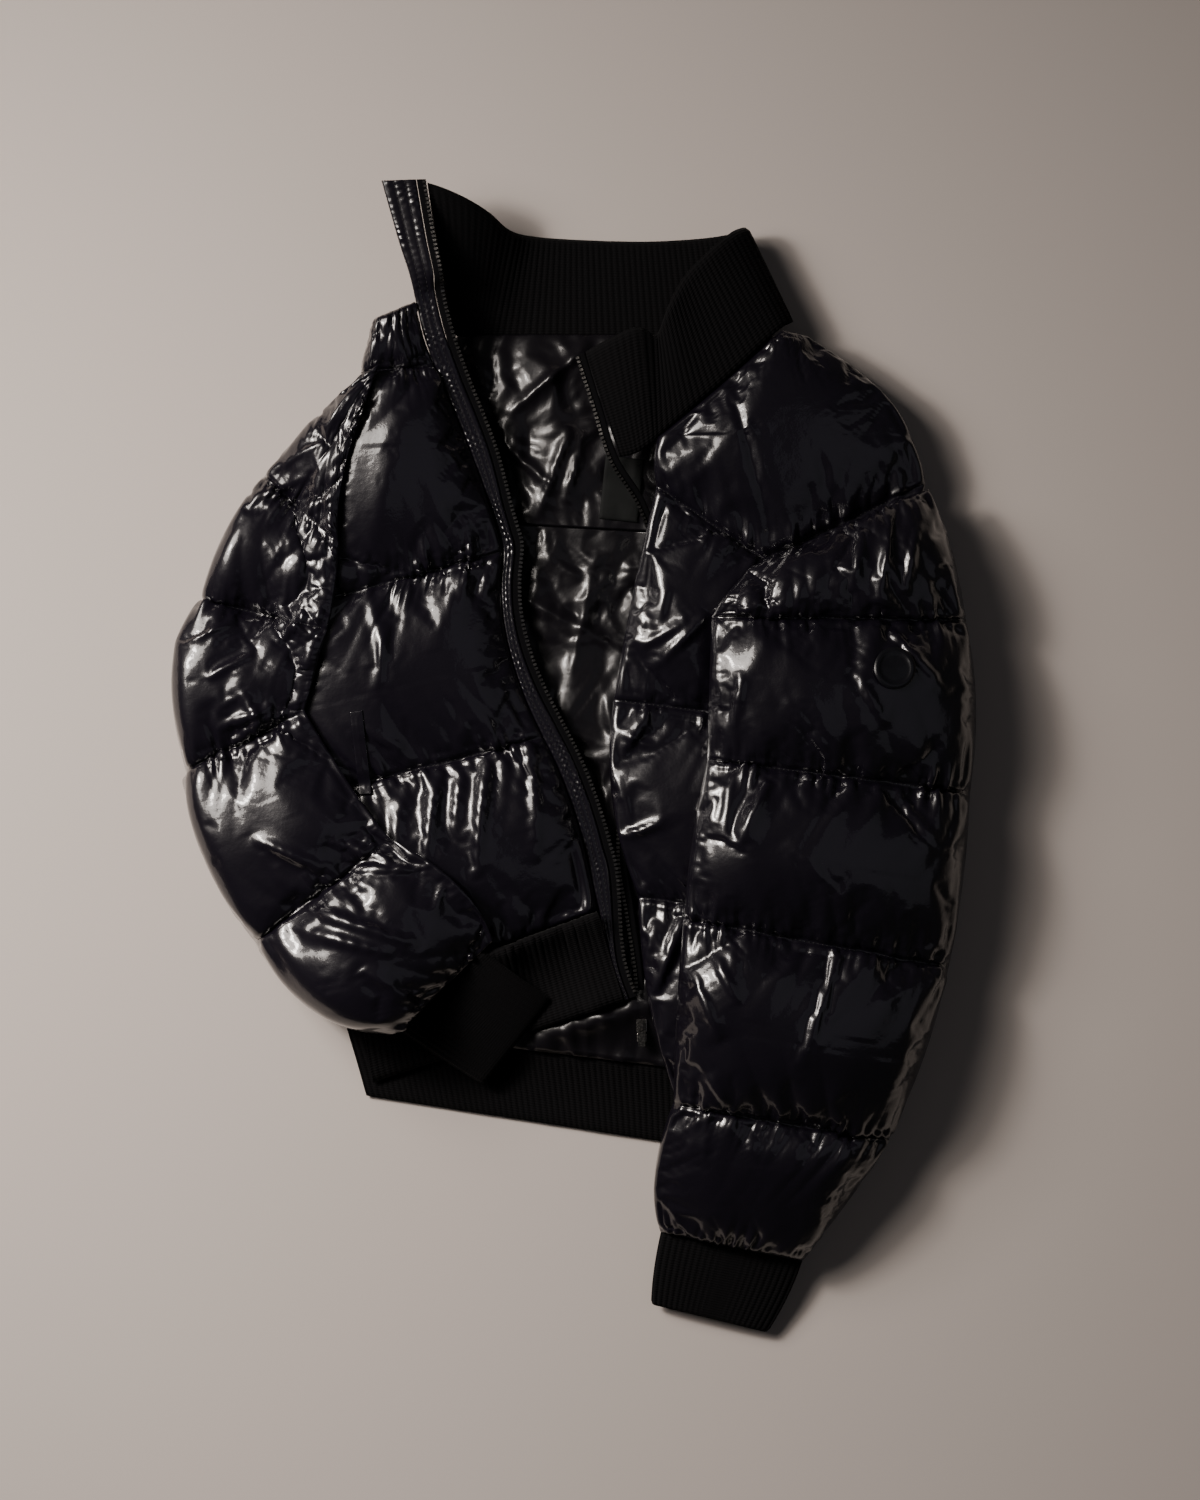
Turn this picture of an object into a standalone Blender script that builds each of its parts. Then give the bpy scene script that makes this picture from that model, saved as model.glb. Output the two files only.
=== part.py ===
"""A cropped puffer jacket with rib-knit collar, cuffs and hem, laid on its back with the front unzipped.

Millimetres in the tables, metres in the meshes. +X is towards the wearer's left, +Y towards the head and
+Z up from the surface that the jacket lies on. The origin is under the middle of the whole object.
Every panel is a table of sections running down the piece. A seam section is thin, the section midway
between two seams is full, and the panel is a soft lens between its two side edges.
"""

import math
from collections import namedtuple

import bmesh
import bpy
from mathutils import Vector
from mathutils.bvhtree import BVHTree

MM = 0.001
SEAM_GAP = 0.4  # between two pieces that are sewn together
LAY_GAP = 0.6  # between two layers that lie on each other
TRIM_GAP = 0.3  # under a small piece that lies flat on a panel
SIDE_EDGE = 3.0  # thickness of a padded panel at its side seams
BACK_LOFT = 19.0
SHELL_LINING = 1.5
RIB_KNIT = 5.0  # doubled rib knit
SLEEVE_HOLLOW = 3.0  # space left between the two flattened layers of a sleeve
CUFF_HOLLOW = 1.6
STEPS_PER_PUFF = 4
ACROSS = 10
REACH = 15.0  # how far round a point the layer under it is felt
TRIM_REACH = 2.5
DIP_AT = 0.4
SETTLE_PASSES = 4

# A section across a panel: its two ends in plan, the height of each side edge, its full thickness, and
# how far its middle dips towards the hem where a quilting seam makes a V.
Section = namedtuple("Section", "kind lx ly lz rx ry rz loft dip", defaults=(0,))

BACK = [
    Section("seam", -94, 303.6, 3, 150, 303.6, 3, 12),
    Section("full", -128, 268, 3, 196, 268, 3, BACK_LOFT),
    Section("seam", -150, 222, 3, 236, 211, 3, 16),
    Section("full", -162, 165, 3, 238, 165, 3, BACK_LOFT),
    Section("seam", -168, 113, 3, 234, 113, 3, 16),
    Section("full", -168, 40, 3, 233, 40, 3, BACK_LOFT),
    Section("seam", -158, -32, 3, 227, -32, 3, 16),
    Section("full", -157, -88, 3, 221, -92, 3, BACK_LOFT),
    Section("seam", -158, -141, 3, 214, -149, 3, 16),
    Section("full", -160, -168, 3, 210, -195, 3, BACK_LOFT),
    Section("seam", -160, -197, 3, 203, -242, 3, 6),
]
FRONT_RIGHT = [
    Section("seam", -126, 319, 50, -113, 325, 54, 8),
    Section("full", -131, 296, 48, -108, 303, 52, 13),
    Section("seam", -135, 276, 42, -100, 280, 47, 12),
    Section("full", -167, 196, 34, -68, 202, 40, 30),
    Section("seam", -179, 111, 32, -51, 147, 36, 14),
    Section("full", -200, 44, 30, -48, 82, 35, 28),
    Section("seam", -190, -30, 28, -22, 13, 34, 14),
    Section("full", -170, -100, 27, 2, -46, 33, 26),
    Section("seam", -155, -175, 26, 17, -112, 31, 8),
]
FRONT_LEFT = [
    Section("seam", 150, 306, 40, 167, 303, 32, 10),
    Section("full", 106, 266, 43, 220, 265, 32, 24),
    Section("seam", 61, 229, 43, 244, 229, 30, 26),
    Section("full", 58, 212, 42, 251, 212, 29, 23, 30),
    Section("seam", 60, 194, 38, 254, 196, 28, 12, 54),
    Section("full", 44, 122, 38, 244, 112, 28, 28, 14),
    Section("seam", 29, 40, 34, 233, 15, 26, 14),
    Section("full", 28, -32, 36, 226, -61, 26, 28),
    Section("seam", 47, -102, 32, 218, -126, 24, 14),
    Section("full", 51, -178, 34, 211, -190, 22, 26),
    Section("seam", 74, -246, 24, 201, -243, 18, 8),
]
SLEEVE_RIGHT = [
    Section("seam", -138, 279, 24, -152, 240, 30, 16),
    Section("full", -178, 248, 22, -167.5, 196, 31, 40),
    Section("seam", -224, 202, 20, -174, 158, 31, 24),
    Section("full", -254, 155, 24, -178, 122, 34, 52),
    Section("seam", -268, 112, 22, -184, 92, 38, 28),
    Section("full", -289, 62, 26, -193, 60, 44, 54),
    Section("seam", -280, -13, 22, -200, 28, 48, 34),
    Section("full", -267, -74, 26, -164, -30, 52, 58),
    Section("seam", -230, -135, 24, -137, -65, 62, 30),
    Section("full", -186, -185, 26, -88, -99, 66, 54),
    Section("seam", -126, -199, 28, -64, -139, 52, 16),
]
SLEEVE_LEFT = [
    Section("seam", 137, 137, 50, 256, 192, 30, 16),
    Section("full", 113, 118, 64, 272, 150, 38, 44),
    Section("seam", 99, 99, 62, 283, 97, 36, 30),
    Section("full", 97, 47, 68, 290, 36, 38, 54),
    Section("seam", 96, -3, 64, 286, -27, 34, 34),
    Section("full", 85, -60, 68, 281, -90, 36, 56),
    Section("seam", 79, -116, 62, 271, -152, 32, 34),
    Section("full", 74, -182, 60, 254, -214, 34, 56),
    Section("seam", 72, -249, 48, 229, -276, 24, 30),
    Section("full", 59, -301, 30, 208, -309, 26, 46),
    Section("seam", 63, -345, 18, 167, -366, 16, 16),
]
# Knit tubes and bands: a start and an end section, with the knit's two layers and what lies between them.
CUFF_RIGHT = [
    Section("seam", -125.7, -199.3, 28, -63.7, -139.3, 52, 14),
    Section("full", -94, -221, 24, -37, -160, 44, 11),
    Section("seam", -66, -239, 18, -16, -175, 34, 9),
]
CUFF_LEFT = [
    Section("seam", 63, -345.4, 18, 167, -366.4, 16, 14),
    Section("full", 58, -373, 14, 157, -392, 13, 11),
    Section("seam", 56, -399, 8, 142, -420, 8, 9),
]
HEM_RIB_BACK = [
    Section("seam", -165, -196.8, 0, 203, -242.4, 0, RIB_KNIT),
    Section("full", -158, -222, 0, 201, -272, 0, RIB_KNIT),
    Section("seam", -151, -248, 0, 198, -302, 0, RIB_KNIT),
]
HEM_RIB_FRONT_RIGHT = [
    Section("seam", -154, -175.8, 0, 17.2, -112.6, 0, 0),
    Section("full", -151, -206, 0, 27, -146, 0, 0),
    Section("seam", -146, -238, 0, 36.5, -177, 0, 0),
]
HEM_RIB_FRONT_LEFT = [
    Section("seam", 74, -246.6, 0, 201, -243.6, 0, 0),
    Section("full", 76, -272, 0, 200, -272, 0, 0),
    Section("seam", 80, -297, 0, 197, -300, 0, 0),
]
LINING_YOKE = [
    Section("seam", -88, 301, 0, 140, 301, 0, 0),
    Section("full", -98, 236, 0, 110, 232, 0, 0),
    Section("seam", -76, 170, 0, 100, 160, 0, 0),
]
LINING_BACK = [
    Section("seam", -76, 169, 0, 100, 159, 0, 0),
    Section("full", -92, 60, 0, 96, 55, 0, 0),
    Section("seam", -80, -50, 0, 90, -60, 0, 0),
    Section("full", -60, -130, 0, 82, -140, 0, 0),
    Section("seam", -46, -204, 0, 76, -219, 0, 0),
]

# The collar is one band. A station runs from the neck seam (foot) to the finished edge (top).
Station = namedtuple("Station", "foot_x foot_y foot_z top_x top_y top_z")
COLLAR = [
    Station(-85.6, 309, 52, -104, 409, 67),
    Station(-81, 309, 44, -91, 405, 64),
    Station(-76, 308, 34, -76, 399, 57),
    Station(-70, 306, 24, -61, 391, 45),
    Station(-60, 304.8, 15, -46, 380, 28),
    Station(-36, 304.3, 10, -28, 377, 14),
    Station(10, 304.3, 9, 8, 375, 9),
    Station(60, 304.3, 9, 54, 374, 9),
    Station(104, 304.6, 9, 92, 376, 10),
    Station(138, 309, 13, 114, 379, 13),
    Station(157, 313, 26, 124, 382, 26),
    Station(150.5, 308.5, 39, 114, 377, 40),
    Station(135, 295, 44, 98, 363, 50),
    Station(110, 271.5, 45, 80, 344, 54),
    Station(85, 250.5, 45, 68, 322, 57),
    Station(64, 232.5, 45, 60, 303, 51),
    Station(55, 224, 46, 46, 307, 57),
    Station(44, 217, 46, 28, 300, 56),
    Station(33.5, 214.6, 46.5, 9, 290, 51),
]

# The edge strips. A rung runs across the strip from its garment side to its free side.
Rung = namedtuple("Rung", "ax ay az bx by bz")
PLACKET_ON_COLLAR = [
    Rung(-136.5, 410, 69, -112, 411, 68),
    Rung(-124.5, 368, 65, -105, 370, 66),
    Rung(-117, 345, 61, -100, 346, 63),
]
# Width of the stitched placket down the front, which turns on its edge below the chest: (along, width).
PLACKET_WIDE = [(0.0, 15.0), (0.2, 14.0), (0.32, 9.0), (0.55, 7.5), (0.7, 12.0), (1.0, 13.0)]
HEM_EDGE_HEIGHT = 31.0
HEM_PLACKET_WIDE = 3.4
TAPE_WIDE = 6.5
TAPE_THICK = 1.6
PLACKET_THICK = 3.6
# The left half of the zip runs down inside the left front's rolled edge and shows again at the bottom.
ZIP_LEFT = [
    Rung(8.4, 289.6, 51, 1.5, 287, 50),
    Rung(20.6, 251, 49, 14, 248.6, 48),
    Rung(32.6, 214, 46.5, 26, 211.6, 45.5),
    Rung(53, 181, 37, 47, 178, 36),
    Rung(64, 140, 25.5, 57, 138, 25.5),
    Rung(62, 60, 25.5, 55, 60, 25.5),
    Rung(44, -10, 25.5, 37, -10, 25.5),
    Rung(38, -68, 25.5, 31, -68, 25.5),
    Rung(44, -112, 25.5, 37, -114, 25.5),
    Rung(50, -156, 25, 43.5, -157, 25),
    Rung(52.8, -200, 23.5, 46.2, -200, 23.5),
]

POCKET_WELT = dict(middle=(-152.0, 2.0), wide=9.0, long=60.0, thick=2.0, slant=6.0)
LABEL = dict(middle=(35.0, 193.0), wide=28.0, long=46.0, thick=1.2, slant=-6.0)
SLEEVE_PATCH = dict(middle=(228.0, 62.0), radius=15.0, thick=1.6)
# The slider is parked at the foot of the left half. Its crown arches lengthwise over the pull tab's pin.
SLIDER = dict(x=49.5, y=-195.4, z=24.7, wide=7.4, long=9.4, thick=2.2)
CROWN = dict(wide=2.0, long=6.4, tall=3.1, bar=1.1, foot=1.1)
PULL_TAB = dict(wide=5.0, long=15.0, thick=1.0, arm=1.0, eye=4.4)
ZIP_BOX = dict(x=49.5, y=-204.2, z=22.4, wide=7.0, long=6.4, thick=4.0)


def clear_scene():
    for obj in list(bpy.data.objects):
        bpy.data.objects.remove(obj, do_unlink=True)


def material(name, colour, roughness, metallic=0.0):
    made = bpy.data.materials.new(name)
    made.use_nodes = True
    shader = made.node_tree.nodes["Principled BSDF"]
    shader.inputs["Base Color"].default_value = (*colour, 1)
    shader.inputs["Roughness"].default_value = roughness
    shader.inputs["Metallic"].default_value = metallic
    made.diffuse_color = (*colour, 1)
    return made


def solid(name, points, faces, finish):
    """A closed mesh object from points in millimetres, with its faces turned outwards."""
    mesh = bpy.data.meshes.new(name)
    mesh.from_pydata([[c * MM for c in point] for point in points], [], faces)
    build = bmesh.new()
    build.from_mesh(mesh)
    bmesh.ops.triangulate(build, faces=build.faces[:])
    bmesh.ops.recalc_face_normals(build, faces=build.faces[:])
    build.to_mesh(mesh)
    build.free()
    mesh.shade_smooth()
    mesh.set_sharp_from_angle(angle=math.radians(50))
    mesh.materials.append(finish)
    obj = bpy.data.objects.new(name, mesh)
    bpy.context.scene.collection.objects.link(obj)
    return obj


def tops_of(objects, reach=REACH):
    """A function that gives the greatest height of these objects round a point in plan, or 0."""
    trees = []
    for obj in objects:
        mesh = obj.data
        points, faces = [v.co for v in mesh.vertices], [p.vertices for p in mesh.polygons]
        trees.append(BVHTree.FromPolygons(points, faces))
    around = [(0, 0)] + [
        (ring * reach * math.cos(math.tau * k / 10), ring * reach * math.sin(math.tau * k / 10))
        for ring in (0.5, 1.0)
        for k in range(10)
    ]

    def height(x, y):
        most = 0.0
        for dx, dy in around:
            for tree in trees:
                hit = tree.ray_cast(Vector(((x + dx) * MM, (y + dy) * MM, 1)), Vector((0, 0, -1)))[0]
                if hit is not None:
                    most = max(most, hit.z / MM)
        return most

    return height


def through(a, m, b, t):
    """The parabola through three numbers at 0, 0.5 and 1."""
    return a * (1 - t) * (1 - 2 * t) + 4 * m * t * (1 - t) + b * t * (2 * t - 1)


def sections_of(table, steps):
    """The table's sections with the puff between each two seams filled in."""
    rows = []
    for first in range(0, len(table) - 1, 2):
        a, m, b = table[first : first + 3]
        for step in range(steps + (first + 3 == len(table))):
            t = step / steps
            sides = [through(*values, t) for values in zip(a[1:7], m[1:7], b[1:7])]
            seam = a.loft + (b.loft - a.loft) * t
            puff = max(0.0, math.sin(math.pi * t)) ** 0.6
            loft = seam + (m.loft - (a.loft + b.loft) / 2) * puff
            rows.append(Section("row", *sides, loft, through(a.dip, m.dip, b.dip, t)))
    return rows


def place(row, u):
    """The plan of the point a share u of the way across a section."""
    dip = row.dip * (u / DIP_AT if u < DIP_AT else (1 - u) / (1 - DIP_AT))
    return row.lx + (row.rx - row.lx) * u, row.ly + (row.ry - row.ly) * u - dip


def swell(u):
    """0 at a panel's side edges and 1 over most of its middle."""
    return (1 - abs(2 * u - 1) ** 2.6) ** (1 / 2.0) if 0 < u < 1 else 0.0


def settled(lows):
    """Lifts low points to the mean of their neighbours, so that cloth doesn't dip between two heights.

    The first and last rows are sewn to the next piece and stay where they are.
    """
    for _ in range(SETTLE_PASSES):
        before = [line[:] for line in lows]
        wide = len(lows[0]) - 1
        for r in range(1, len(lows) - 1):
            line = before[r]
            for c, low in enumerate(line):
                near = before[r - 1][c] + before[r + 1][c] + line[max(c - 1, 0)] + line[min(c + 1, wide)]
                lows[r][c] = max(low, near / 4)
    return lows


def lenses(rows, under, edge):
    """The panel's points, row by row: (x, y, underside, upper side) from the left edge to the right."""
    shares = [(1 - math.cos(math.pi * k / ACROSS)) / 2 for k in range(ACROSS + 1)]
    lows = []
    for row in rows:
        line = []
        for u in shares:
            middle = row.lz + (row.rz - row.lz) * u
            line.append(max(middle - row.loft / 2 * swell(u), under(*place(row, u)) + LAY_GAP))
        lows.append(line)
    grid = []
    for row, line in zip(rows, settled(lows)):
        grid.append(
            [
                (*place(row, u), low, low + edge + (row.loft - edge) * swell(u))
                for u, low in zip(shares, line)
            ]
        )
    return grid


def slab(name, rows, finish):
    """A closed solid from rows of (x, y, underside, upper side)."""
    wide = len(rows[0])
    points = [(x, y, high) for row in rows for x, y, low, high in row]
    points += [(x, y, low) for row in rows for x, y, low, high in row]
    half = len(points) // 2
    faces = []
    for r in range(len(rows) - 1):
        for c in range(wide - 1):
            a = r * wide + c
            faces.append((a, a + 1, a + wide + 1, a + wide))
            faces.append((half + a, half + a + wide, half + a + wide + 1, half + a + 1))
    rim = [r * wide for r in range(len(rows))]
    rim += [(len(rows) - 1) * wide + c for c in range(1, wide)]
    rim += [r * wide + wide - 1 for r in range(len(rows) - 2, -1, -1)]
    rim += list(range(wide - 2, 0, -1))
    for k, a in enumerate(rim):
        b = rim[(k + 1) % len(rim)]
        faces.append((a, b, half + b, half + a))
    return solid(name, points, faces, finish)


def panel(name, table, under, finish, edge=SIDE_EDGE, steps=STEPS_PER_PUFF):
    return slab(name, lenses(sections_of(table, steps), under, edge), finish)


def flat_panel(name, table, loft_edge, finish, steps=STEPS_PER_PUFF):
    """A panel that lies on the surface itself, so that its whole underside is flat."""
    rows = []
    for row in sections_of(table, steps):
        across = []
        for k in range(ACROSS + 1):
            u = (1 - math.cos(math.pi * k / ACROSS)) / 2
            across.append((*place(row, u), 0.0, loft_edge + (row.loft - loft_edge) * swell(u)))
        rows.append(across)
    return slab(name, rows, finish)


def layer(name, table, under, thick, finish, steps=STEPS_PER_PUFF):
    """Thin cloth that follows what it lies on."""
    rows = []
    for row in sections_of(table, steps):
        across = []
        for k in range(ACROSS + 1):
            x, y = place(row, k / ACROSS)
            low = under(x, y) + LAY_GAP
            across.append((x, y, low, low + thick))
        rows.append(across)
    return slab(name, rows, finish)


def tube(name, table, under, hollow, finish, edge=SIDE_EDGE, steps=STEPS_PER_PUFF):
    """A flattened sleeve: an outer skin round a thin flat space, open at both ends."""
    outer, inner = [], []
    rows = sections_of(table, steps)
    for row, line in zip(rows, lenses(rows, under, edge)):
        wide = math.hypot(row.rx - row.lx, row.ry - row.ly)
        inset = min(0.2, 7.0 / wide)
        upper = [(x, y, high) for x, y, low, high in line]
        outer.append(upper + [(x, y, low) for x, y, low, high in line[::-1]])
        over, below = [], []
        for k, (x, y, low, high) in enumerate(line):
            u = (1 - math.cos(math.pi * k / ACROSS)) / 2
            v = inset + (1 - 2 * inset) * u
            px, py = place(row, v)
            position = math.acos(1 - 2 * v) / math.pi * ACROSS
            cell = min(int(position), ACROSS - 1)
            part = position - cell
            here, there = (sum(line[k][2:]) / 2 for k in (cell, cell + 1))
            middle = (1 - part) * here + part * there
            half = min(hollow, (high - low) * 0.4 + 0.4) / 2
            half = 0.25 + (half - 0.25) * swell(u)
            over.append((px, py, middle + half))
            below.append((px, py, middle - half))
        inner.append(over + below[::-1])
    ring = len(outer[0])
    points = [point for loop in outer + inner for point in loop]
    base = len(outer) * ring
    faces = []
    for r in range(len(outer) - 1):
        for c in range(ring):
            a, b = r * ring + c, r * ring + (c + 1) % ring
            faces.append((a, b, b + ring, a + ring))
            faces.append((base + a, base + a + ring, base + b + ring, base + b))
    for r in (0, len(outer) - 1):
        for c in range(ring):
            a, b = r * ring + c, r * ring + (c + 1) % ring
            faces.append((a, b, base + b, base + a))
    return solid(name, points, faces, finish)


def along(values, position):
    """A smooth curve through evenly spaced values."""
    last = len(values) - 1
    cell = min(int(position), last - 1)
    t = position - cell
    p0, p1, p2, p3 = (values[max(0, min(last, cell + k))] for k in (-1, 0, 1, 2))
    bend, twist = 2 * p0 - 5 * p1 + 4 * p2 - p3, 3 * p1 - p0 - 3 * p2 + p3
    return 0.5 * (2 * p1 + (p2 - p0) * t + bend * t**2 + twist * t**3)


def band(name, table, thick, bulge, rungs, per_station, finish):
    """A band of knit or tape between two edges: a skin on each side of its middle surface."""
    columns = list(zip(*table))
    count = (len(table) - 1) * per_station + 1
    middle = []
    for s in range(count):
        ends = [along(column, s / per_station) for column in columns]
        foot, top = Vector(ends[:3]), Vector(ends[3:])
        middle.append([foot.lerp(top, k / rungs) for k in range(rungs + 1)])
    normals = []
    for s in range(count):
        line = []
        for k in range(rungs + 1):
            ahead = middle[min(s + 1, count - 1)][k] - middle[max(s - 1, 0)][k]
            up = middle[s][min(k + 1, rungs)] - middle[s][max(k - 1, 0)]
            line.append(ahead.cross(up).normalized())
        normals.append(line)
    points = []
    for side in (1, -1):
        for s in range(count):
            for k in range(rungs + 1):
                push = side * thick / 2 + bulge * math.sin(math.pi * k / rungs)
                points.append(middle[s][k] + normals[s][k] * push)
    wide, half = rungs + 1, count * (rungs + 1)
    faces = []
    for s in range(count - 1):
        for k in range(rungs):
            a = s * wide + k
            faces.append((a, a + 1, a + wide + 1, a + wide))
            faces.append((half + a, half + a + wide, half + a + wide + 1, half + a + 1))
    rim = [s * wide for s in range(count)] + [(count - 1) * wide + k for k in range(1, wide)]
    rim += [s * wide + wide - 1 for s in range(count - 2, -1, -1)] + list(range(wide - 2, 0, -1))
    for k, a in enumerate(rim):
        b = rim[(k + 1) % len(rim)]
        faces.append((a, b, half + b, half + a))
    return solid(name, points, faces, finish)


def rungs_down_front(rows, rib):
    """The placket's rungs beside the front's free edge and on down beside the hem rib's."""
    rungs = []
    for k, row in enumerate(rows):
        along_front = k / (len(rows) - 1)
        for (t0, w0), (t1, w1) in zip(PLACKET_WIDE, PLACKET_WIDE[1:]):
            if t0 <= along_front <= t1:
                wide = w0 + (w1 - w0) * (along_front - t0) / (t1 - t0)
        out = Vector((row.rx - row.lx, row.ry - row.ly, 0)).normalized()
        start = Vector((row.rx, row.ry, row.rz + SIDE_EDGE / 2)) + out * SEAM_GAP
        rungs.append(Rung(*start, *(start + out * wide - Vector((0, 0, 1.0)))))
    for row in rib[1:]:
        out = Vector((row.rx - row.lx, row.ry - row.ly, 0)).normalized()
        start = Vector((row.rx, row.ry, HEM_EDGE_HEIGHT)) + out * SEAM_GAP
        rungs.append(Rung(*start, *(start + out * HEM_PLACKET_WIDE)))
    return rungs


def beyond(rungs, wide):
    """Rungs of the next strip, sewn on at the free side of these."""
    following = []
    for rung in rungs:
        edge = Vector(rung[3:])
        out = (edge - Vector(rung[:3])).normalized()
        following.append(Rung(*(edge + out * SEAM_GAP), *(edge + out * (SEAM_GAP + wide))))
    return following


def turned(x, y, degrees):
    angle = math.radians(degrees)
    return x * math.cos(angle) - y * math.sin(angle), x * math.sin(angle) + y * math.cos(angle)


def patch(name, sizes, under, finish, cells=(2, 6)):
    """A small rectangle of cloth laid on what is under it."""
    rows = []
    for r in range(cells[1] + 1):
        line = []
        for c in range(cells[0] + 1):
            dx, dy = turned(
                (c / cells[0] - 0.5) * sizes["wide"], (0.5 - r / cells[1]) * sizes["long"], sizes["slant"]
            )
            x, y = sizes["middle"][0] + dx, sizes["middle"][1] + dy
            low = under(x, y) + TRIM_GAP
            line.append((x, y, low, low + sizes["thick"]))
        rows.append(line)
    return slab(name, rows, finish)


def disc(name, sizes, under, finish, sides=16):
    """A round badge laid on what is under it."""
    mx, my = sizes["middle"]
    plan = [(mx, my)] + [
        (
            mx + sizes["radius"] * math.cos(math.tau * k / sides),
            my + sizes["radius"] * math.sin(math.tau * k / sides),
        )
        for k in range(sides)
    ]
    lows = [under(x, y) + TRIM_GAP for x, y in plan]
    points = [(x, y, low + sizes["thick"]) for (x, y), low in zip(plan, lows)]
    points += [(x, y, low) for (x, y), low in zip(plan, lows)]
    half = sides + 1
    faces = []
    for k in range(sides):
        a, b = 1 + k, 1 + (k + 1) % sides
        faces += [(0, a, b), (half, half + b, half + a), (a, half + a, half + b, b)]
    return solid(name, points, faces, finish)


def block(name, sizes, finish):
    """A small metal block with its edges taken off, centred in plan on its place."""
    w, d, h = sizes["wide"] / 2, sizes["long"] / 2, sizes["thick"]
    corners = [(x, y, z) for z in (0, h) for y in (-d, d) for x in (-w, w)]
    faces = [(0, 2, 3, 1), (4, 5, 7, 6), (0, 1, 5, 4), (2, 6, 7, 3), (0, 4, 6, 2), (1, 3, 7, 5)]
    obj = solid(name, corners, faces, finish)
    obj.location = Vector((sizes["x"], sizes["y"], sizes["z"])) * MM
    bevel = obj.modifiers.new("edges", "BEVEL")
    bevel.width = 0.5 * MM
    bevel.segments = 2
    return obj


def crown_arch(sizes, finish):
    """The arch on the slider, drawn from the side and given its width."""
    half, tall, wide = sizes["long"] / 2, sizes["tall"], sizes["wide"] / 2
    inner, under = half - sizes["foot"], tall - sizes["bar"]
    side = [(-half, -0.6), (-half, tall - 0.9), (1.0 - half, tall), (half - 1.0, tall), (half, tall - 0.9)]
    side += [(half, -0.6), (inner, -0.6), (inner, under), (-inner, under), (-inner, -0.6)]
    points = [(x, y, z) for x in (-wide, wide) for y, z in side]
    count = len(side)
    faces = [tuple(range(count)), tuple(range(2 * count - 1, count - 1, -1))]
    faces += [(k, (k + 1) % count, count + (k + 1) % count, count + k) for k in range(count)]
    return solid("slider_crown", points, faces, finish)


def eyed_plate(name, sizes, finish):
    """The pull tab: a flat plate that hangs from the pin across one end of its eye."""
    half, pin = sizes["wide"] / 2, sizes["thick"] / 2
    outer = [(-half, pin), (half, pin), (half, -sizes["long"]), (-half, -sizes["long"])]
    inset = half - sizes["arm"]
    eye = [(-inset, -pin), (inset, -pin), (inset, -sizes["eye"]), (-inset, -sizes["eye"])]
    points = [(x, y, z) for z in (-pin, pin) for x, y in outer + eye]
    faces = []
    for k in range(4):
        n = (k + 1) % 4
        faces += [(k, n, 4 + n, 4 + k), (8 + k, 12 + k, 12 + n, 8 + n)]
        faces += [(k, 8 + k, 8 + n, n), (4 + k, 4 + n, 12 + n, 12 + k)]
    return solid(name, points, faces, finish)


clear_scene()
nylon = material("coated nylon", (0.012, 0.011, 0.014), 0.2)
knit = material("rib knit", (0.02, 0.02, 0.022), 0.8)
lining = material("lining taffeta", (0.015, 0.014, 0.016), 0.35)
tape = material("zip tape", (0.02, 0.02, 0.02), 0.7)
metal = material("nickel plated zinc", (0.6, 0.6, 0.62), 0.25, 1.0)

back = flat_panel("back", BACK, 6.0, nylon, steps=2)
hem_back = flat_panel("hem_rib_back", HEM_RIB_BACK, RIB_KNIT, knit, steps=2)
on_back = tops_of([back, hem_back])
yoke = layer("back_lining_yoke", LINING_YOKE, on_back, SHELL_LINING, lining, steps=5)
inside = layer("back_lining", LINING_BACK, on_back, SHELL_LINING, lining, steps=5)
label = patch("inner_label", LABEL, tops_of([yoke, inside], TRIM_REACH), lining)
zip_left = band("zip_tape_left", ZIP_LEFT, TAPE_THICK, 0, 1, 2, tape)
on_inside = tops_of([back, hem_back, yoke, inside, label, zip_left])
hem_right = layer("hem_rib_front_right", HEM_RIB_FRONT_RIGHT, on_inside, RIB_KNIT, knit, steps=2)
hem_left = layer("hem_rib_front_left", HEM_RIB_FRONT_LEFT, on_inside, RIB_KNIT, knit, steps=2)
front_right = panel("front_right", FRONT_RIGHT, on_inside, nylon)
front_left = panel("front_left", FRONT_LEFT, on_inside, nylon)

front_rows = sections_of(FRONT_RIGHT, STEPS_PER_PUFF)
placket_rungs = PLACKET_ON_COLLAR + rungs_down_front(front_rows, HEM_RIB_FRONT_RIGHT)
placket = band("placket_right", placket_rungs, PLACKET_THICK, 0, 2, 1, nylon)
zip_right = band("zip_tape_right", beyond(placket_rungs, TAPE_WIDE), TAPE_THICK, 0, 1, 1, tape)
collar = band("collar", COLLAR, RIB_KNIT, 0, 4, 2, knit)
pocket = patch("pocket_welt_right", POCKET_WELT, tops_of([front_right], TRIM_REACH), nylon)

on_front = tops_of([back, hem_back, hem_right, hem_left, front_right, front_left])
sleeve_right = tube("sleeve_right", SLEEVE_RIGHT, on_front, SLEEVE_HOLLOW, nylon)
sleeve_left = tube("sleeve_left", SLEEVE_LEFT, on_front, SLEEVE_HOLLOW, nylon)
cuff_right = tube("cuff_right", CUFF_RIGHT, on_front, CUFF_HOLLOW, knit, edge=RIB_KNIT)
cuff_left = tube("cuff_left", CUFF_LEFT, on_front, CUFF_HOLLOW, knit, edge=RIB_KNIT)
badge = disc("sleeve_patch_left", SLEEVE_PATCH, tops_of([sleeve_left], 2 * TRIM_REACH), nylon)

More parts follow.
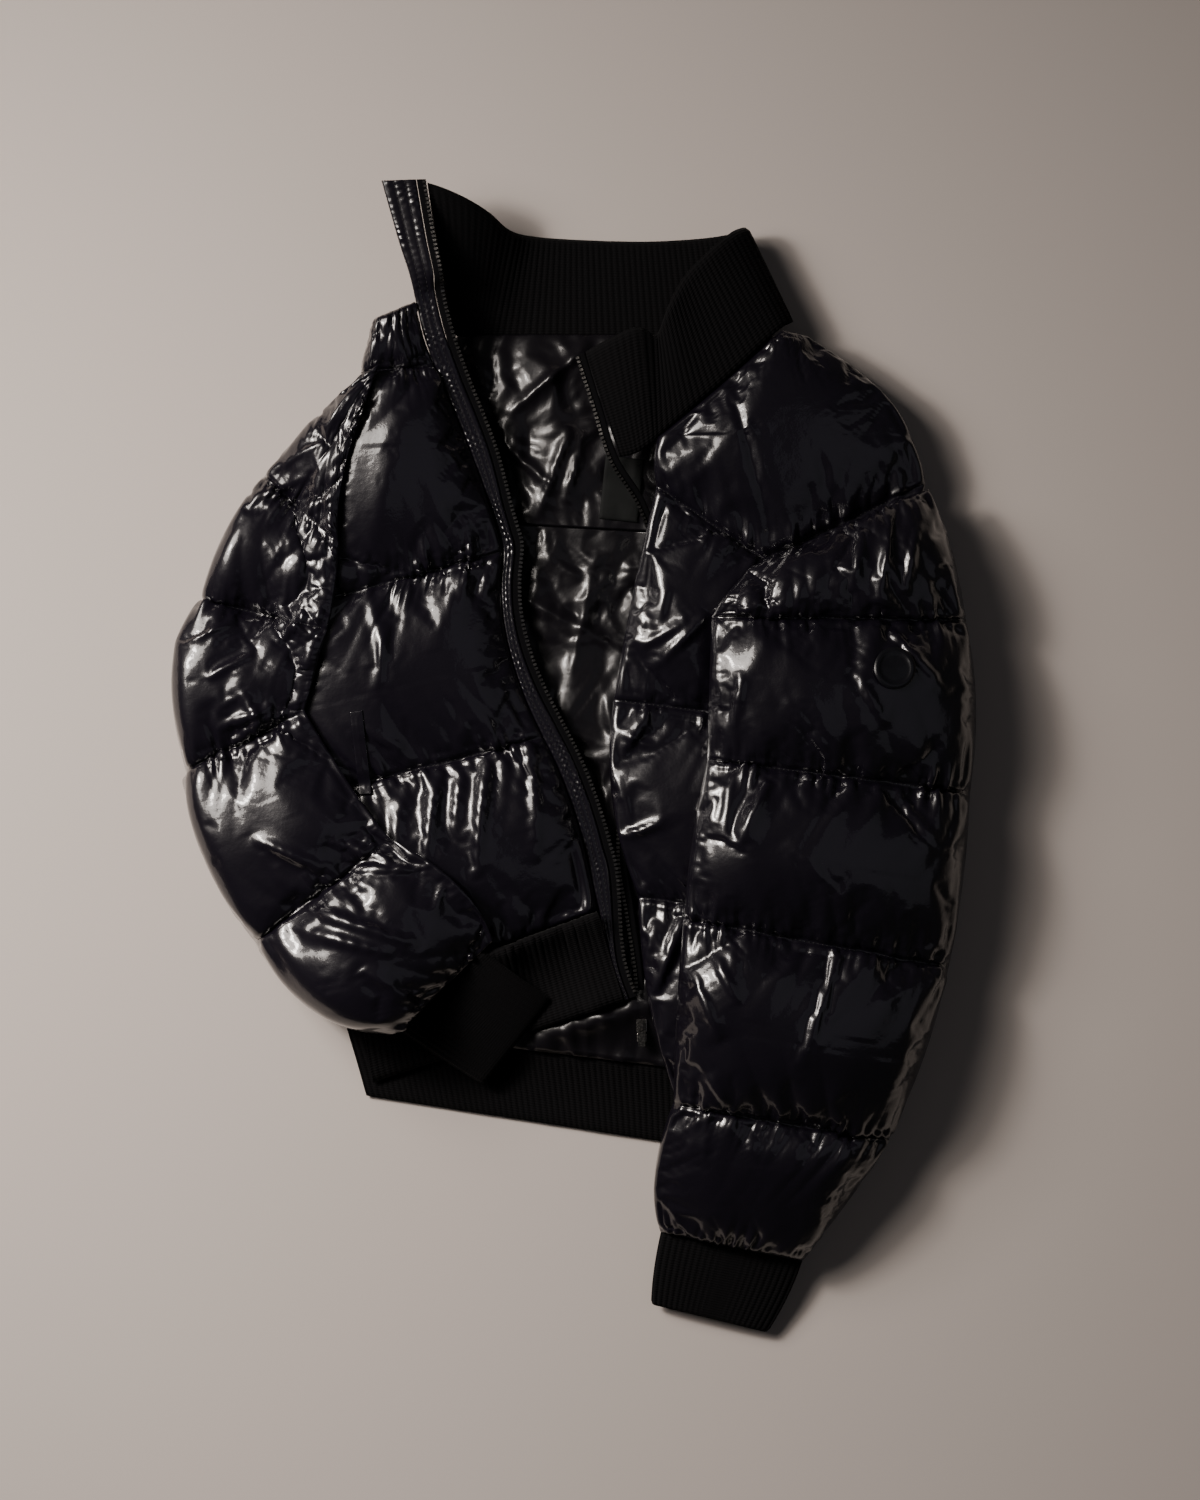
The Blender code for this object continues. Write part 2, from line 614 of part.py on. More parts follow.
box = block("zip_box_left", ZIP_BOX, metal)
slider = block("zip_slider", SLIDER, metal)
crown = crown_arch(CROWN, metal)
crown.location = Vector((SLIDER["x"], SLIDER["y"], SLIDER["z"] + SLIDER["thick"])) * MM
crown.hide_render = True
crown.display_type = "WIRE"
join = slider.modifiers.new("crown", "BOOLEAN")
join.operation = "UNION"
join.object = crown
pull = eyed_plate("pull_tab", PULL_TAB, metal)
pin_height = SLIDER["z"] + SLIDER["thick"] + (CROWN["tall"] - CROWN["bar"]) / 2
pull.location = Vector((SLIDER["x"], SLIDER["y"], pin_height)) * MM
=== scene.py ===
"""Looks of a cropped puffer jacket that lies on its back with its front zip open.

Tables are in millimetres in the frame of the solids: +X towards the wearer's left, +Y towards the collar,
+Z up from the surface. Meshes are in metres.
"""

import math
from collections import namedtuple

import bpy
import numpy as np
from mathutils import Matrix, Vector, noise
from mathutils.bvhtree import BVHTree


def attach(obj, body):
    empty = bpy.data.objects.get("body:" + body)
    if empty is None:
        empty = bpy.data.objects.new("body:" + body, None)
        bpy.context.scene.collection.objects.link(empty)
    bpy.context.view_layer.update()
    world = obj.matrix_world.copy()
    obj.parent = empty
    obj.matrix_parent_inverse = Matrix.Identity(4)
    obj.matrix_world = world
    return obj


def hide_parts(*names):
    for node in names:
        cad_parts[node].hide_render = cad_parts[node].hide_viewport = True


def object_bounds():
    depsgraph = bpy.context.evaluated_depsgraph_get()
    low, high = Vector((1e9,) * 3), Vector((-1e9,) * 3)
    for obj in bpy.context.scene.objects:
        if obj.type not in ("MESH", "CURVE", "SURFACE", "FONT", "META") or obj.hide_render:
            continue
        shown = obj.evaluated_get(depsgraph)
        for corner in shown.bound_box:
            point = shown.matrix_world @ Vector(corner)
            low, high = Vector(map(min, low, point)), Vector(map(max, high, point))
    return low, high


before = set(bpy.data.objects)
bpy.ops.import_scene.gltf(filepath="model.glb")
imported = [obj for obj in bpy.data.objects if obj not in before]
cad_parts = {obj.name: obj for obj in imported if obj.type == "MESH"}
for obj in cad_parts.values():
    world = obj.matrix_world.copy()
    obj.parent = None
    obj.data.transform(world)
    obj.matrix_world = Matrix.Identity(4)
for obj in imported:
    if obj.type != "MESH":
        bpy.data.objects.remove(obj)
cad_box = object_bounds()
mm = 0.001

# ---------------------------------------------------------------------------------------------------------
# The surface and the light. A matt painted board, lit by one window-like soft box high on the left that
# is brightest in its middle, and by a weak one on the right, with a dim room round them.


def linear(hex_colour):
    """An sRGB hex colour as linear RGBA."""
    channels = [int(hex_colour[k : k + 2], 16) / 255 for k in (1, 3, 5)]
    return (*[c / 12.92 if c <= 0.04045 else ((c + 0.055) / 1.055) ** 2.4 for c in channels], 1.0)


def add(tree, kind, settings=None, **links):
    """Adds a shader node with its settings and its incoming links. A setting's name may be a socket's."""
    node = tree.nodes.new(kind)
    for key, value in (settings or {}).items():
        if key in node.inputs:
            node.inputs[key].default_value = value
        else:
            setattr(node, key, value)
    for key, source in links.items():
        tree.links.new(source, node.inputs[key.replace("_", " ")])
    return node


def new_material(name, settings):
    """A Principled material and its tree."""
    made = bpy.data.materials.new(name)
    made.use_nodes = True
    shader = made.node_tree.nodes["Principled BSDF"]
    for key, value in settings.items():
        shader.inputs[key].default_value = value
    return made, made.node_tree, shader


VIEW_CENTRE = (19.3, 4.0)
VIEW_TALL = 1095.0
EYE_HEIGHT = 3000.0

camera_data = bpy.data.cameras.new("overhead camera")
camera_data.sensor_fit = "VERTICAL"
camera_data.sensor_height = 36.0
camera_data.lens = camera_data.sensor_height * EYE_HEIGHT / VIEW_TALL
camera = bpy.data.objects.new("overhead camera", camera_data)
camera.location = (VIEW_CENTRE[0] * mm, VIEW_CENTRE[1] * mm, EYE_HEIGHT * mm)
bpy.context.scene.collection.objects.link(camera)
bpy.context.scene.camera = camera

# Warm pale grey wall paint, rolled on: a broad dull sheen, and a grain of 1.7 mm that is hardly seen.
board, board_tree, board_shader = new_material(
    "matt painted board", {"Base Color": linear("#bdb4ae"), "Roughness": 0.85, "Specular IOR Level": 0.25}
)
board_grain = add(board_tree, "ShaderNodeTexNoise", {"Scale": 1 / (1.667 * mm), "Detail": 3.0})
board_bump = add(
    board_tree, "ShaderNodeBump", {"Strength": 0.08, "Distance": 0.3 * mm}, Height=board_grain.outputs["Fac"]
)
board_tree.links.new(board_bump.outputs["Normal"], board_shader.inputs["Normal"])

BOARD_HALF, BOARD_GAP = 4.0, 0.0004  # in metres: its half width, and how far it lies below the jacket
board_points = [(x * BOARD_HALF, y * BOARD_HALF, -BOARD_GAP) for x, y in ((-1, -1), (1, -1), (1, 1), (-1, 1))]
board_mesh = bpy.data.meshes.new("painted board")
board_mesh.from_pydata(board_points, [], [(0, 1, 2, 3)])
board_mesh.materials.append(board)
floor = bpy.data.objects.new("painted_board", board_mesh)
bpy.context.scene.collection.objects.link(floor)


def soft_box(name, place, aim, width, height, watts, colour, spread):
    """A rectangular lamp at this place in metres, turned to its aim, whose beam spreads by these degrees."""
    data = bpy.data.lights.new(name, "AREA")
    data.spread = math.radians(spread)
    data.shape = "RECTANGLE"
    data.size = width
    data.size_y = height
    data.energy = watts
    data.color = linear(colour)[:3]
    lamp = bpy.data.objects.new(name, data)
    lamp.location = place
    lamp.rotation_euler = (Vector(aim) - Vector(place)).to_track_quat("-Z", "Y").to_euler()
    bpy.context.scene.collection.objects.link(lamp)


WINDOW_AIM = (-0.15, -0.62, 0.0)
soft_box("left window", (-1.06, 0.52, 1.14), WINDOW_AIM, 0.95, 0.85, 16, "#fff6ee", 125)
soft_box("middle of the window", (-1.04, 0.54, 1.12), WINDOW_AIM, 0.25, 0.27, 9.5, "#fff6ee", 125)
soft_box("right card", (1.3, -0.1, 1.5), (0.1, 0.0, 0.0), 1.4, 1.8, 1.1, "#f2f2ff", 180)
world = bpy.data.worlds.new("dim studio")
bpy.context.scene.world = world
world.use_nodes = True
world.node_tree.nodes["Background"].inputs["Color"].default_value = linear("#c8c6c6")
world.node_tree.nodes["Background"].inputs["Strength"].default_value = 0.05

# ---------------------------------------------------------------------------------------------------------
# The back. Two skins of black coated nylon with down between them, quilted across. It lies flat under
# everything else, so only its edges and the shape that it gives the lining are seen.

# One line across a panel, with its two ends and how thick the panel is there. A seam is stitched down, full
# is the crest of a puff, and bend is a crease with no stitches. A dip lets the line sag towards the hem.
Section = namedtuple("Section", "kind lx ly lz rx ry rz loft dip", defaults=(0,))
BACK_LOFT, BACK_EDGE = 19.0, 6.0
BACK_STEP, BACK_COLUMNS = 8.0, 44
BACK = [
    Section("seam", -94, 303.6, 3, 150, 303.6, 3, 12),
    Section("full", -128, 268, 3, 196, 268, 3, BACK_LOFT),
    Section("seam", -150, 222, 3, 236, 211, 3, 16),
    Section("full", -162, 165, 3, 238, 165, 3, BACK_LOFT),
    Section("seam", -168, 113, 3, 234, 113, 3, 16),
    Section("full", -168, 40, 3, 233, 40, 3, BACK_LOFT),
    Section("seam", -158, -32, 3, 227, -32, 3, 16),
    Section("full", -157, -88, 3, 221, -92, 3, BACK_LOFT),
    Section("seam", -158, -141, 3, 214, -149, 3, 16),
    Section("full", -160, -168, 3, 210, -195, 3, BACK_LOFT),
    Section("seam", -160, -197, 3, 203, -242, 3, 6),
]
PUFF = 0.6  # the lower it is, the fuller a puff is beside its seams
DIP_AT = 0.4  # how far across the panel the sag is deepest


def through(a, m, b, t):
    """The parabola through three numbers at 0, 0.5 and 1."""
    return a * (1 - t) * (1 - 2 * t) + 4 * m * t * (1 - t) + b * t * (2 * t - 1)


def fine_sections(table, spacing):
    """The table's sections with each puff filled in, as columns of numbers, and the rows with seams."""
    rows, seams = [], []
    for first in range(0, len(table) - 1, 2):
        a, m, b = table[first : first + 3]
        sides = [[end[k : k + 2] for end in (a, m, b)] for k in (1, 4)]
        long = max(math.dist(top, middle) + math.dist(middle, low) for top, middle, low in sides)
        steps = max(4, 2 * round(long / spacing / 2))
        if a.kind == "seam":
            seams.append(len(rows))
        for step in range(steps + (first + 3 == len(table))):
            t = step / steps
            ends = [through(*values, t) for values in zip(a[1:7], m[1:7], b[1:7])]
            puff = max(0.0, math.sin(math.pi * t)) ** PUFF
            loft = a.loft + (b.loft - a.loft) * t + (m.loft - (a.loft + b.loft) / 2) * puff
            if "bend" in (a.kind, b.kind):
                loft = through(a.loft, m.loft, b.loft, t)
            rows.append((*ends, loft, through(a.dip, m.dip, b.dip, t), t))
    seams.append(len(rows) - 1)
    return np.array(rows), seams


def swell(u, square=2.6):
    """0 at a panel's side edges and 1 over most of its middle: the higher square is, the flatter its top."""
    return np.sqrt(np.clip(1 - np.abs(2 * u - 1) ** square, 0, 1))


def spread(rows, columns):
    """Plan positions, mid heights, lofts and shares across for a panel's mesh."""
    u = np.linspace(0, 1, columns + 1)[None, :]
    lx, ly, lz, rx, ry, rz, loft, dip, _ = (rows[:, k : k + 1] for k in range(9))
    tent = np.where(u < DIP_AT, u / DIP_AT, (1 - u) / (1 - DIP_AT))
    x = lx + (rx - lx) * u
    y = ly + (ry - ly) * u - dip * tent
    return x, y, lz + (rz - lz) * u, loft * np.ones_like(u), u * np.ones_like(lx)


def mesh_object(name, points, faces, finish=None, smooth=True):
    """A mesh object from millimetres, faces out."""
    mesh = bpy.data.meshes.new(name)
    mesh.from_pydata((np.asarray(points, float) * mm).tolist(), [], faces)
    mesh.update()
    if smooth:
        mesh.shade_smooth()
    if finish:
        mesh.materials.append(finish)
    made = bpy.data.objects.new(name, mesh)
    bpy.context.scene.collection.objects.link(made)
    return made


def grid_faces(rows, columns, start=0, flip=False):
    """Quads of a grid with this many points each way."""
    faces = []
    for r in range(rows - 1):
        for c in range(columns - 1):
            a = start + r * columns + c
            quad = (a, a + columns, a + columns + 1, a + 1)
            faces.append(quad[::-1] if flip else quad)
    return faces


def rim_of(rows, columns, start=0):
    """The points round the edge of a grid, in order."""
    loop = [r * columns for r in range(rows)]
    loop += [(rows - 1) * columns + c for c in range(1, columns)]
    loop += [r * columns + columns - 1 for r in range(rows - 2, -1, -1)]
    loop += list(range(columns - 2, 0, -1))
    return [start + k for k in loop]


def finer(grid):
    """The same smooth surface with a point put between each two."""
    for axis in (0, 1):
        g = np.moveaxis(grid, axis, 0)
        ends = np.concatenate([2 * g[:1] - g[1:2], g, 2 * g[-1:] - g[-2:-1]])
        middle = (9 * (ends[1:-2] + ends[2:-1]) - ends[:-3] - ends[3:]) / 16
        both = np.empty((2 * len(g) - 1, *g.shape[1:]))
        both[0::2], both[1::2] = g, middle
        grid = np.moveaxis(both, 0, axis)
    return grid


def closed_panel(name, top, low, finish, skip=2):
    """A padded panel: this upper skin and an underside of every skip-th point, joined round their rims."""
    low = low[::skip, ::skip]
    upper_shape, lower_shape = top.shape[:2], low.shape[:2]
    start = upper_shape[0] * upper_shape[1]
    faces = grid_faces(*upper_shape) + grid_faces(*lower_shape, start, flip=True)
    fine, coarse = rim_of(*upper_shape), rim_of(*lower_shape, start)
    per = len(fine) // len(coarse)
    for k, a in enumerate(coarse):
        b = coarse[(k + 1) % len(coarse)]
        above = [fine[(k * per + j) % len(fine)] for j in range(per + 1)]
        faces.append((a, b, *above[::-1]))
    made = mesh_object(name, np.concatenate([top.reshape(-1, 3), low.reshape(-1, 3)]), faces, finish)
    smooth = [True] * (len(faces) - len(coarse)) + [False] * len(coarse)
    made.data.polygons.foreach_set("use_smooth", smooth)
    return made


def belongs(obj, node=None):
    """Fixes a piece to the jacket, and hides the solid that it is shown for."""
    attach(obj, "jacket")
    if node:
        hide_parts(node)


class Relief:
    """Heights of the top of the pile over the jacket's plan, for what is laid on it next."""

    CELL = 3.0
    MARGIN = 30.0

    def __init__(self):
        low, high = (Vector(corner) / mm for corner in cad_box)
        self.x0, self.y0 = low.x - self.MARGIN, low.y - self.MARGIN
        wide, tall = high.x - low.x + 2 * self.MARGIN, high.y - low.y + 2 * self.MARGIN
        self.shape = int(tall / self.CELL) + 1, int(wide / self.CELL) + 1
        self.top = np.zeros(self.shape)

    def lay(self, obj):
        """Adds a piece to the pile."""
        points = [v.co for v in obj.data.vertices]
        tree = BVHTree.FromPolygons(points, [p.vertices for p in obj.data.polygons])
        spots = np.array([p[:2] for p in points]) / mm
        c0, r0 = (((spots.min(0) - (self.x0, self.y0)) // self.CELL).astype(int) - 1).clip(0)
        c1, r1 = ((spots.max(0) - (self.x0, self.y0)) // self.CELL).astype(int) + 3
        for r in range(r0, min(r1, self.shape[0])):
            for c in range(c0, min(c1, self.shape[1])):
                start = Vector(((self.x0 + c * self.CELL) * mm, (self.y0 + r * self.CELL) * mm, 1))
                hit = tree.ray_cast(start, Vector((0, 0, -1)))[0]
                if hit is not None:
                    self.top[r, c] = max(self.top[r, c], hit.z / mm)

    def under(self, x, y, reach):
        """The greatest height within this reach of each point."""
        wide = self.top
        down, across = self.shape
        for _ in range(max(1, round(reach / self.CELL))):
            padded = np.pad(wide, 1, mode="edge")
            wide = np.max([padded[i : i + down, j : j + across] for i in range(3) for j in range(3)], axis=0)
        column = ((x - self.x0) / self.CELL).clip(0, across - 2)
        row = ((y - self.y0) / self.CELL).clip(0, down - 2)
        c, r = column.astype(int), row.astype(int)
        s, t = column - c, row - r
        near = wide[r, c] * (1 - s) + wide[r, c + 1] * s
        far = wide[r + 1, c] * (1 - s) + wide[r + 1, c + 1] * s
        return near * (1 - t) + far * t


# Polyurethane coated nylon. It is near black with a violet cast, and its clear film mirrors the window
# sharply over a duller weave. A crinkle of 10 mm and a pebble of 2 mm break the highlights up.
nylon, nylon_tree, nylon_shader = new_material(
    "polyurethane coated nylon taffeta",
    {
        "Base Color": linear("#0e0b13"),
        "Roughness": 0.3,
        "Specular IOR Level": 0.35,
        "IOR": 1.52,
        "Coat Weight": 0.75,
        "Coat Roughness": 0.035,
        "Coat IOR": 1.5,
    },
)
nylon_where = add(nylon_tree, "ShaderNodeTexCoord").outputs["Object"]
crinkle = add(
    nylon_tree,
    "ShaderNodeTexNoise",
    {"Scale": 1 / (10.526 * mm), "Detail": 5.0, "Roughness": 0.55},
    Vector=nylon_where,
)
pebble = add(nylon_tree, "ShaderNodeTexNoise", {"Scale": 1 / (2.381 * mm), "Detail": 2.0}, Vector=nylon_where)
PEBBLE_SHARE = 0.12
nylon_relief = add(nylon_tree, "ShaderNodeMath", {"operation": "MULTIPLY_ADD"})
nylon_tree.links.new(pebble.outputs["Fac"], nylon_relief.inputs[0])
nylon_relief.inputs[1].default_value = PEBBLE_SHARE
nylon_tree.links.new(crinkle.outputs["Fac"], nylon_relief.inputs[2])
nylon_bump = add(
    nylon_tree,
    "ShaderNodeBump",
    {"Strength": 0.27, "Distance": 1.1 * mm},
    Height=nylon_relief.outputs["Value"],
)
for socket in ("Normal", "Coat Normal"):
    nylon_tree.links.new(nylon_bump.outputs["Normal"], nylon_shader.inputs[socket])

rows, _ = fine_sections(BACK, BACK_STEP)
x, y, _, loft, u = spread(rows, BACK_COLUMNS)
back_top = np.dstack([x, y, BACK_EDGE + (loft - BACK_EDGE) * swell(u)])
back = closed_panel("back_quilted", finer(back_top), np.dstack([x, y, 0 * x]), nylon)
belongs(back, "back")
pile = Relief()
pile.lay(back)

# ---------------------------------------------------------------------------------------------------------
# The hem bands. Black 2x2 rib knit, doubled over and sewn to the body: raised ribs 4.4 mm apart run
# from the seam to the folded edge, and the band lies flatter and narrower than the puffed body.

RIB_PITCH = 4.4
RIB_HIGH = 0.7
RIB_STEP = 0.74  # six points across each rib
KNIT_THICK = 5.0
KNIT_FOLD = 0.07  # the share of a band's depth in which it turns round its folded edge
KNIT_SEAM = 0.08  # and in which the seam draws it in
REST_GAP = 0.4  # the air between a piece that is sewn on and the cloth under it
HEM_RIB_BACK = [
    Section("seam", -165, -196.8, 0, 203, -242.4, 0, 0),
    Section("full", -158, -222, 0, 201, -272, 0, 0),
    Section("seam", -151, -248, 0, 198, -302, 0, 0),
]
HEM_RIB_FRONT_RIGHT = [
    Section("seam", -154, -175.8, 0, 17.2, -112.6, 0, 0),
    Section("full", -151, -206, 0, 27, -146, 0, 0),
    Section("seam", -146, -238, 0, 36.5, -177, 0, 0),
]
HEM_RIB_FRONT_LEFT = [
    Section("seam", 74, -246.6, 0, 201, -243.6, 0, 0),
    Section("full", 76, -272, 0, 200, -272, 0, 0),
    Section("seam", 80, -297, 0, 197, -300, 0, 0),
]

# Rib knit of wool and acrylic: matt black yarn that swallows light, so that only the ribs' shade and a
# little fuzz are seen. The stitches run along each rib by the band's own lengths in its UV map.
STITCH_PITCH = 1.9
BANDS = 3.18  # a wave texture's bands in one unit
knit, knit_tree, knit_shader = new_material(
    "wool and acrylic rib knit",
    {
        "Roughness": 0.9,
        "IOR": 1.45,
        "Specular IOR Level": 0.12,
        "Sheen Weight": 0.02,
        "Sheen Roughness": 0.5,
    },
)
knit_where = add(knit_tree, "ShaderNodeTexCoord")
stitches = add(
    knit_tree,
    "ShaderNodeTexWave",
    {
        "wave_type": "BANDS",
        "bands_direction": "Y",
        "Scale": 1 / (STITCH_PITCH * mm * BANDS),
        "Distortion": 1.2,
        "Detail": 1.0,
        "Detail Scale": 2.0,
    },
    Vector=knit_where.outputs["UV"],
)
fuzz = add(
    knit_tree,
    "ShaderNodeTexNoise",
    {"Scale": 1 / (1.1111 * mm), "Detail": 3.0},
    Vector=knit_where.outputs["Object"],
)
knit_relief = add(knit_tree, "ShaderNodeMath", {"operation": "ADD"})
knit_tree.links.new(stitches.outputs["Fac"], knit_relief.inputs[0])
knit_tree.links.new(fuzz.outputs["Fac"], knit_relief.inputs[1])
knit_bump = add(
    knit_tree, "ShaderNodeBump", {"Strength": 0.5, "Distance": 0.6 * mm}, Height=knit_relief.outputs["Value"]
)
knit_tree.links.new(knit_bump.outputs["Normal"], knit_shader.inputs["Normal"])
knit_tone = add(knit_tree, "ShaderNodeMix", {"data_type": "RGBA"}, Factor=fuzz.outputs["Fac"])
for socket, tone in ((6, "#050506"), (7, "#0b0a0c")):
    knit_tone.inputs[socket].default_value = linear(tone)
knit_tree.links.new(knit_tone.outputs[2], knit_shader.inputs["Base Color"])


def ripple(x, y, scale, seed):
    """Smooth seeded noise over the plan, between about -1 and 1."""
    flat = [noise.noise(Vector((a / scale, b / scale, seed))) for a, b in zip(x.ravel(), y.ravel())]
    return np.array(flat).reshape(x.shape)


def averaged(field, passes):
    """The field smoothed out over its neighbours."""
    for _ in range(passes):
        padded = np.pad(field, 1, mode="edge")
        field = (padded[:-2, 1:-1] + padded[2:, 1:-1] + padded[1:-1, :-2] + padded[1:-1, 2:]) / 4
    return field


def settled(low, passes):
    """Lifts low points to the mean of their neighbours, so that cloth bridges what it lies on."""
    for _ in range(passes):
        low[1:-1] = np.maximum(low, averaged(low, 1))[1:-1]
    return low


def lengths(points):
    """Distance run along a line of points."""
    return np.concatenate([[0], np.cumsum(np.linalg.norm(np.diff(points, axis=0), axis=1))])


def normals_of(grid):
    """Unit normals of a grid of points, on the side that its faces turn to."""
    down, across = np.gradient(grid, axis=0), np.gradient(grid, axis=1)
    normal = np.cross(down, across)
    return normal / np.maximum(np.linalg.norm(normal, axis=2, keepdims=True), 1e-9)


def set_uv(obj, uv):
    """Gives each corner of the mesh its point's pair of lengths, in metres."""
    layer = obj.data.uv_layers.new(name="lengths")
    corners = np.empty(len(obj.data.loops), int)
    obj.data.loops.foreach_get("vertex_index", corners)
    layer.data.foreach_set("uv", (np.asarray(uv)[corners] * mm).ravel())


def two_skins(name, top, low, finish):
    """A thin shell between an upper and a lower grid of the same size, closed round its rim."""
    rows, columns = top.shape[:2]
    faces = grid_faces(rows, columns) + grid_faces(rows, columns, rows * columns, flip=True)
    rim = rim_of(rows, columns)
    for a, b in zip(rim, rim[1:] + rim[:1]):
        faces.append((b, a, rows * columns + a, rows * columns + b))
    return mesh_object(name, np.concatenate([top.reshape(-1, 3), low.reshape(-1, 3)]), faces, finish)


def ribs(along):
    """The profile of a 2x2 rib: broad rounded ribs with narrow furrows, from 0 to 1."""
    return np.clip(0.62 + 0.62 * np.cos(2 * np.pi * along / RIB_PITCH), 0, 1) ** 0.7


def folded_edge(share, least):
    """The share of its thickness that a band keeps where it turns round its folded edge."""
    return np.sqrt(np.clip(1 - np.clip((share - 1 + KNIT_FOLD) / KNIT_FOLD, 0, 1) ** 2, least, 1))


def knit_band(name, middle):
    """Ribbed knit either side of a middle surface: rows run down the ribs and columns across them."""
    along = lengths(middle[len(middle) // 2])
    down = lengths(middle[:, middle.shape[1] // 2])
    share = down / down[-1]
    half = (KNIT_THICK / 2 - RIB_HIGH * 0.5) + RIB_HIGH * 0.5 * (2 * ribs(along) - 1)[None, :]
    drawn_in = 0.8 + 0.2 * np.clip(share / KNIT_SEAM, 0, 1)
    half = half * folded_edge(share, least=0.02)[:, None] * drawn_in[:, None]
    away = normals_of(middle) * half[..., None]
    made = two_skins(name, middle + away, middle - away, knit)
    set_uv(made, np.tile(np.dstack(np.meshgrid(along, down)).reshape(-1, 2), (2, 1)))
    return made


def hem_band(name, node, table):
    """A doubled band that lies on the pile below a panel's lower edge."""
    rows, _ = fine_sections(table, spacing=5.0)
    wide = math.dist(rows[0][0:2], rows[0][3:5])
    x, y = spread(rows, round(wide / RIB_STEP))[:2]
    low = settled(pile.under(x, y, reach=6.0), passes=30)
    wave = 0.8 * np.abs(ripple(x, y, scale=45.0, seed=3.0))
    band = knit_band(name, np.dstack([x, y, low + KNIT_THICK / 2 + REST_GAP + wave]))
    belongs(band, node)
    pile.lay(band)


hem_band("hem_band_back", "hem_rib_back", HEM_RIB_BACK)

# ---------------------------------------------------------------------------------------------------------
# The lining of the back. Thin black nylon, sewn to a shaped yoke below the neck. It lies loose on the
# padding, so it shows long soft creases.

LINING_THICK = 1.5
LINING_COLUMNS = 60
CLEAR = 0.6  # the air between loose cloth and what it lies on
LINING_YOKE = [
    Section("seam", -84, 306, 0, 146, 306, 0, 0),
    Section("full", -98, 236, 0, 110, 232, 0, 0),
    Section("seam", -76, 170, 0, 100, 160, 0, 0),
]
LINING_BACK = [
    Section("seam", -76, 169, 0, 100, 159, 0, 0),
    Section("full", -92, 60, 0, 96, 55, 0, 0),
    Section("seam", -60, -130, 0, 82, -140, 0, 0),
    Section("full", -60, -130, 0, 82, -140, 0, 0),
    Section("seam", -46, -212, 0, 76, -227, 0, 0),
]

# One fold: where it starts and ends, its half width and its height, which tapers to both ends.
Fold = namedtuple("Fold", "x0 y0 x1 y1 wide rise")
YOKE_FOLDS = [
    Fold(-48, 246, 12, 298, 6, 8),
    Fold(-58, 232, -10, 190, 6, 5),
    Fold(-2, 238, -27, 170, 6, 8),
    Fold(8, 236, -6, 182, 5, 5),
]
LINING_FOLDS = [
    Fold(-50, 120, 26, 82, 7, 4),
    Fold(18, 150, -4, 50, 5, 4),
    Fold(20, 60, 40, -60, 6, 4),
    Fold(-24, -60, 40, -140, 6, 4),
    Fold(-30, -206, 66, -176, 9, 12),
]

# Calendered nylon: pressed smooth, so it shines, but less than the coated shell. Soft creases of 14 mm
# keep its highlights broad.
lining, lining_tree, lining_shader = new_material(
    "calendered nylon lining",
    {
        "Base Color": linear("#0e0c10"),
        "Roughness": 0.36,
        "IOR": 1.53,
        "Specular IOR Level": 0.3,
        "Coat Weight": 0.28,
        "Coat Roughness": 0.1,
    },
)
lining_where = add(lining_tree, "ShaderNodeTexCoord").outputs["Object"]
lining_creases = add(
    lining_tree, "ShaderNodeTexNoise", {"Scale": 1 / (14.286 * mm), "Detail": 6.0}, Vector=lining_where
)
lining_bump = add(
    lining_tree,
    "ShaderNodeBump",
    {"Strength": 0.4, "Distance": 1.2 * mm},
    Height=lining_creases.outputs["Fac"],
)
for socket in ("Normal", "Coat Normal"):
    lining_tree.links.new(lining_bump.outputs["Normal"], lining_shader.inputs[socket])


def folded(x, y, folds):
    """The height that these folds add at each point."""
    rise = np.zeros_like(x)
    for fold in folds:
        along = np.array([fold.x1 - fold.x0, fold.y1 - fold.y0], float)
        long = np.hypot(*along)
        along /= long
        s = ((x - fold.x0) * along[0] + (y - fold.y0) * along[1]) / long
        across = (x - fold.x0) * along[1] - (y - fold.y0) * along[0]
        taper = np.clip(np.sin(np.pi * np.clip(s, 0, 1)), 0, 1) ** 0.7
        rise += fold.rise * taper * np.exp(0.35 - np.sqrt((1.3 * across / fold.wide) ** 2 + 0.12))
    return rise


def crumpled(x, y, high, seed):
    """Flat facets that meet in sharp creases, above and below, at three sizes."""
    bend = 16 * ripple(x, y, 45.0, seed + 7)
    sway = 16 * ripple(y, x, 45.0, seed + 8)
    p, q = x + bend, 0.8 * y + sway
    broad = np.abs(ripple(p + 0.5 * q, q - 0.5 * p, 34.0, seed))
    middle = np.abs(ripple(p - 0.4 * q, q + 0.4 * p, 21.0, seed + 1))
    small = np.abs(ripple(p, q, 11.0, seed + 2))
    return high * (1.5 * broad - 1.1 * middle + 0.45 * small + 0.4)


def laid_cloth(name, node, table, folds, seed):
    """A thin skin that lies over the pile, with soft creases."""
    rows, _ = fine_sections(table, spacing=3.0)
    # Rows that don't move on are left out.
    rows = rows[np.concatenate([[True], np.abs(np.diff(rows[:, 1])) > 1e-6])]
    x, y = spread(rows, LINING_COLUMNS)[:2]
    low = settled(pile.under(x, y, reach=4.0) + CLEAR, passes=40)
    drape = crumpled(x, y, 3.2, seed)
    top = finer(np.dstack([x, y, low + LINING_THICK + drape + folded(x, y, folds)]))
    made = two_skins(name, top, top - normals_of(top) * LINING_THICK, lining)
    belongs(made, node)
    return made


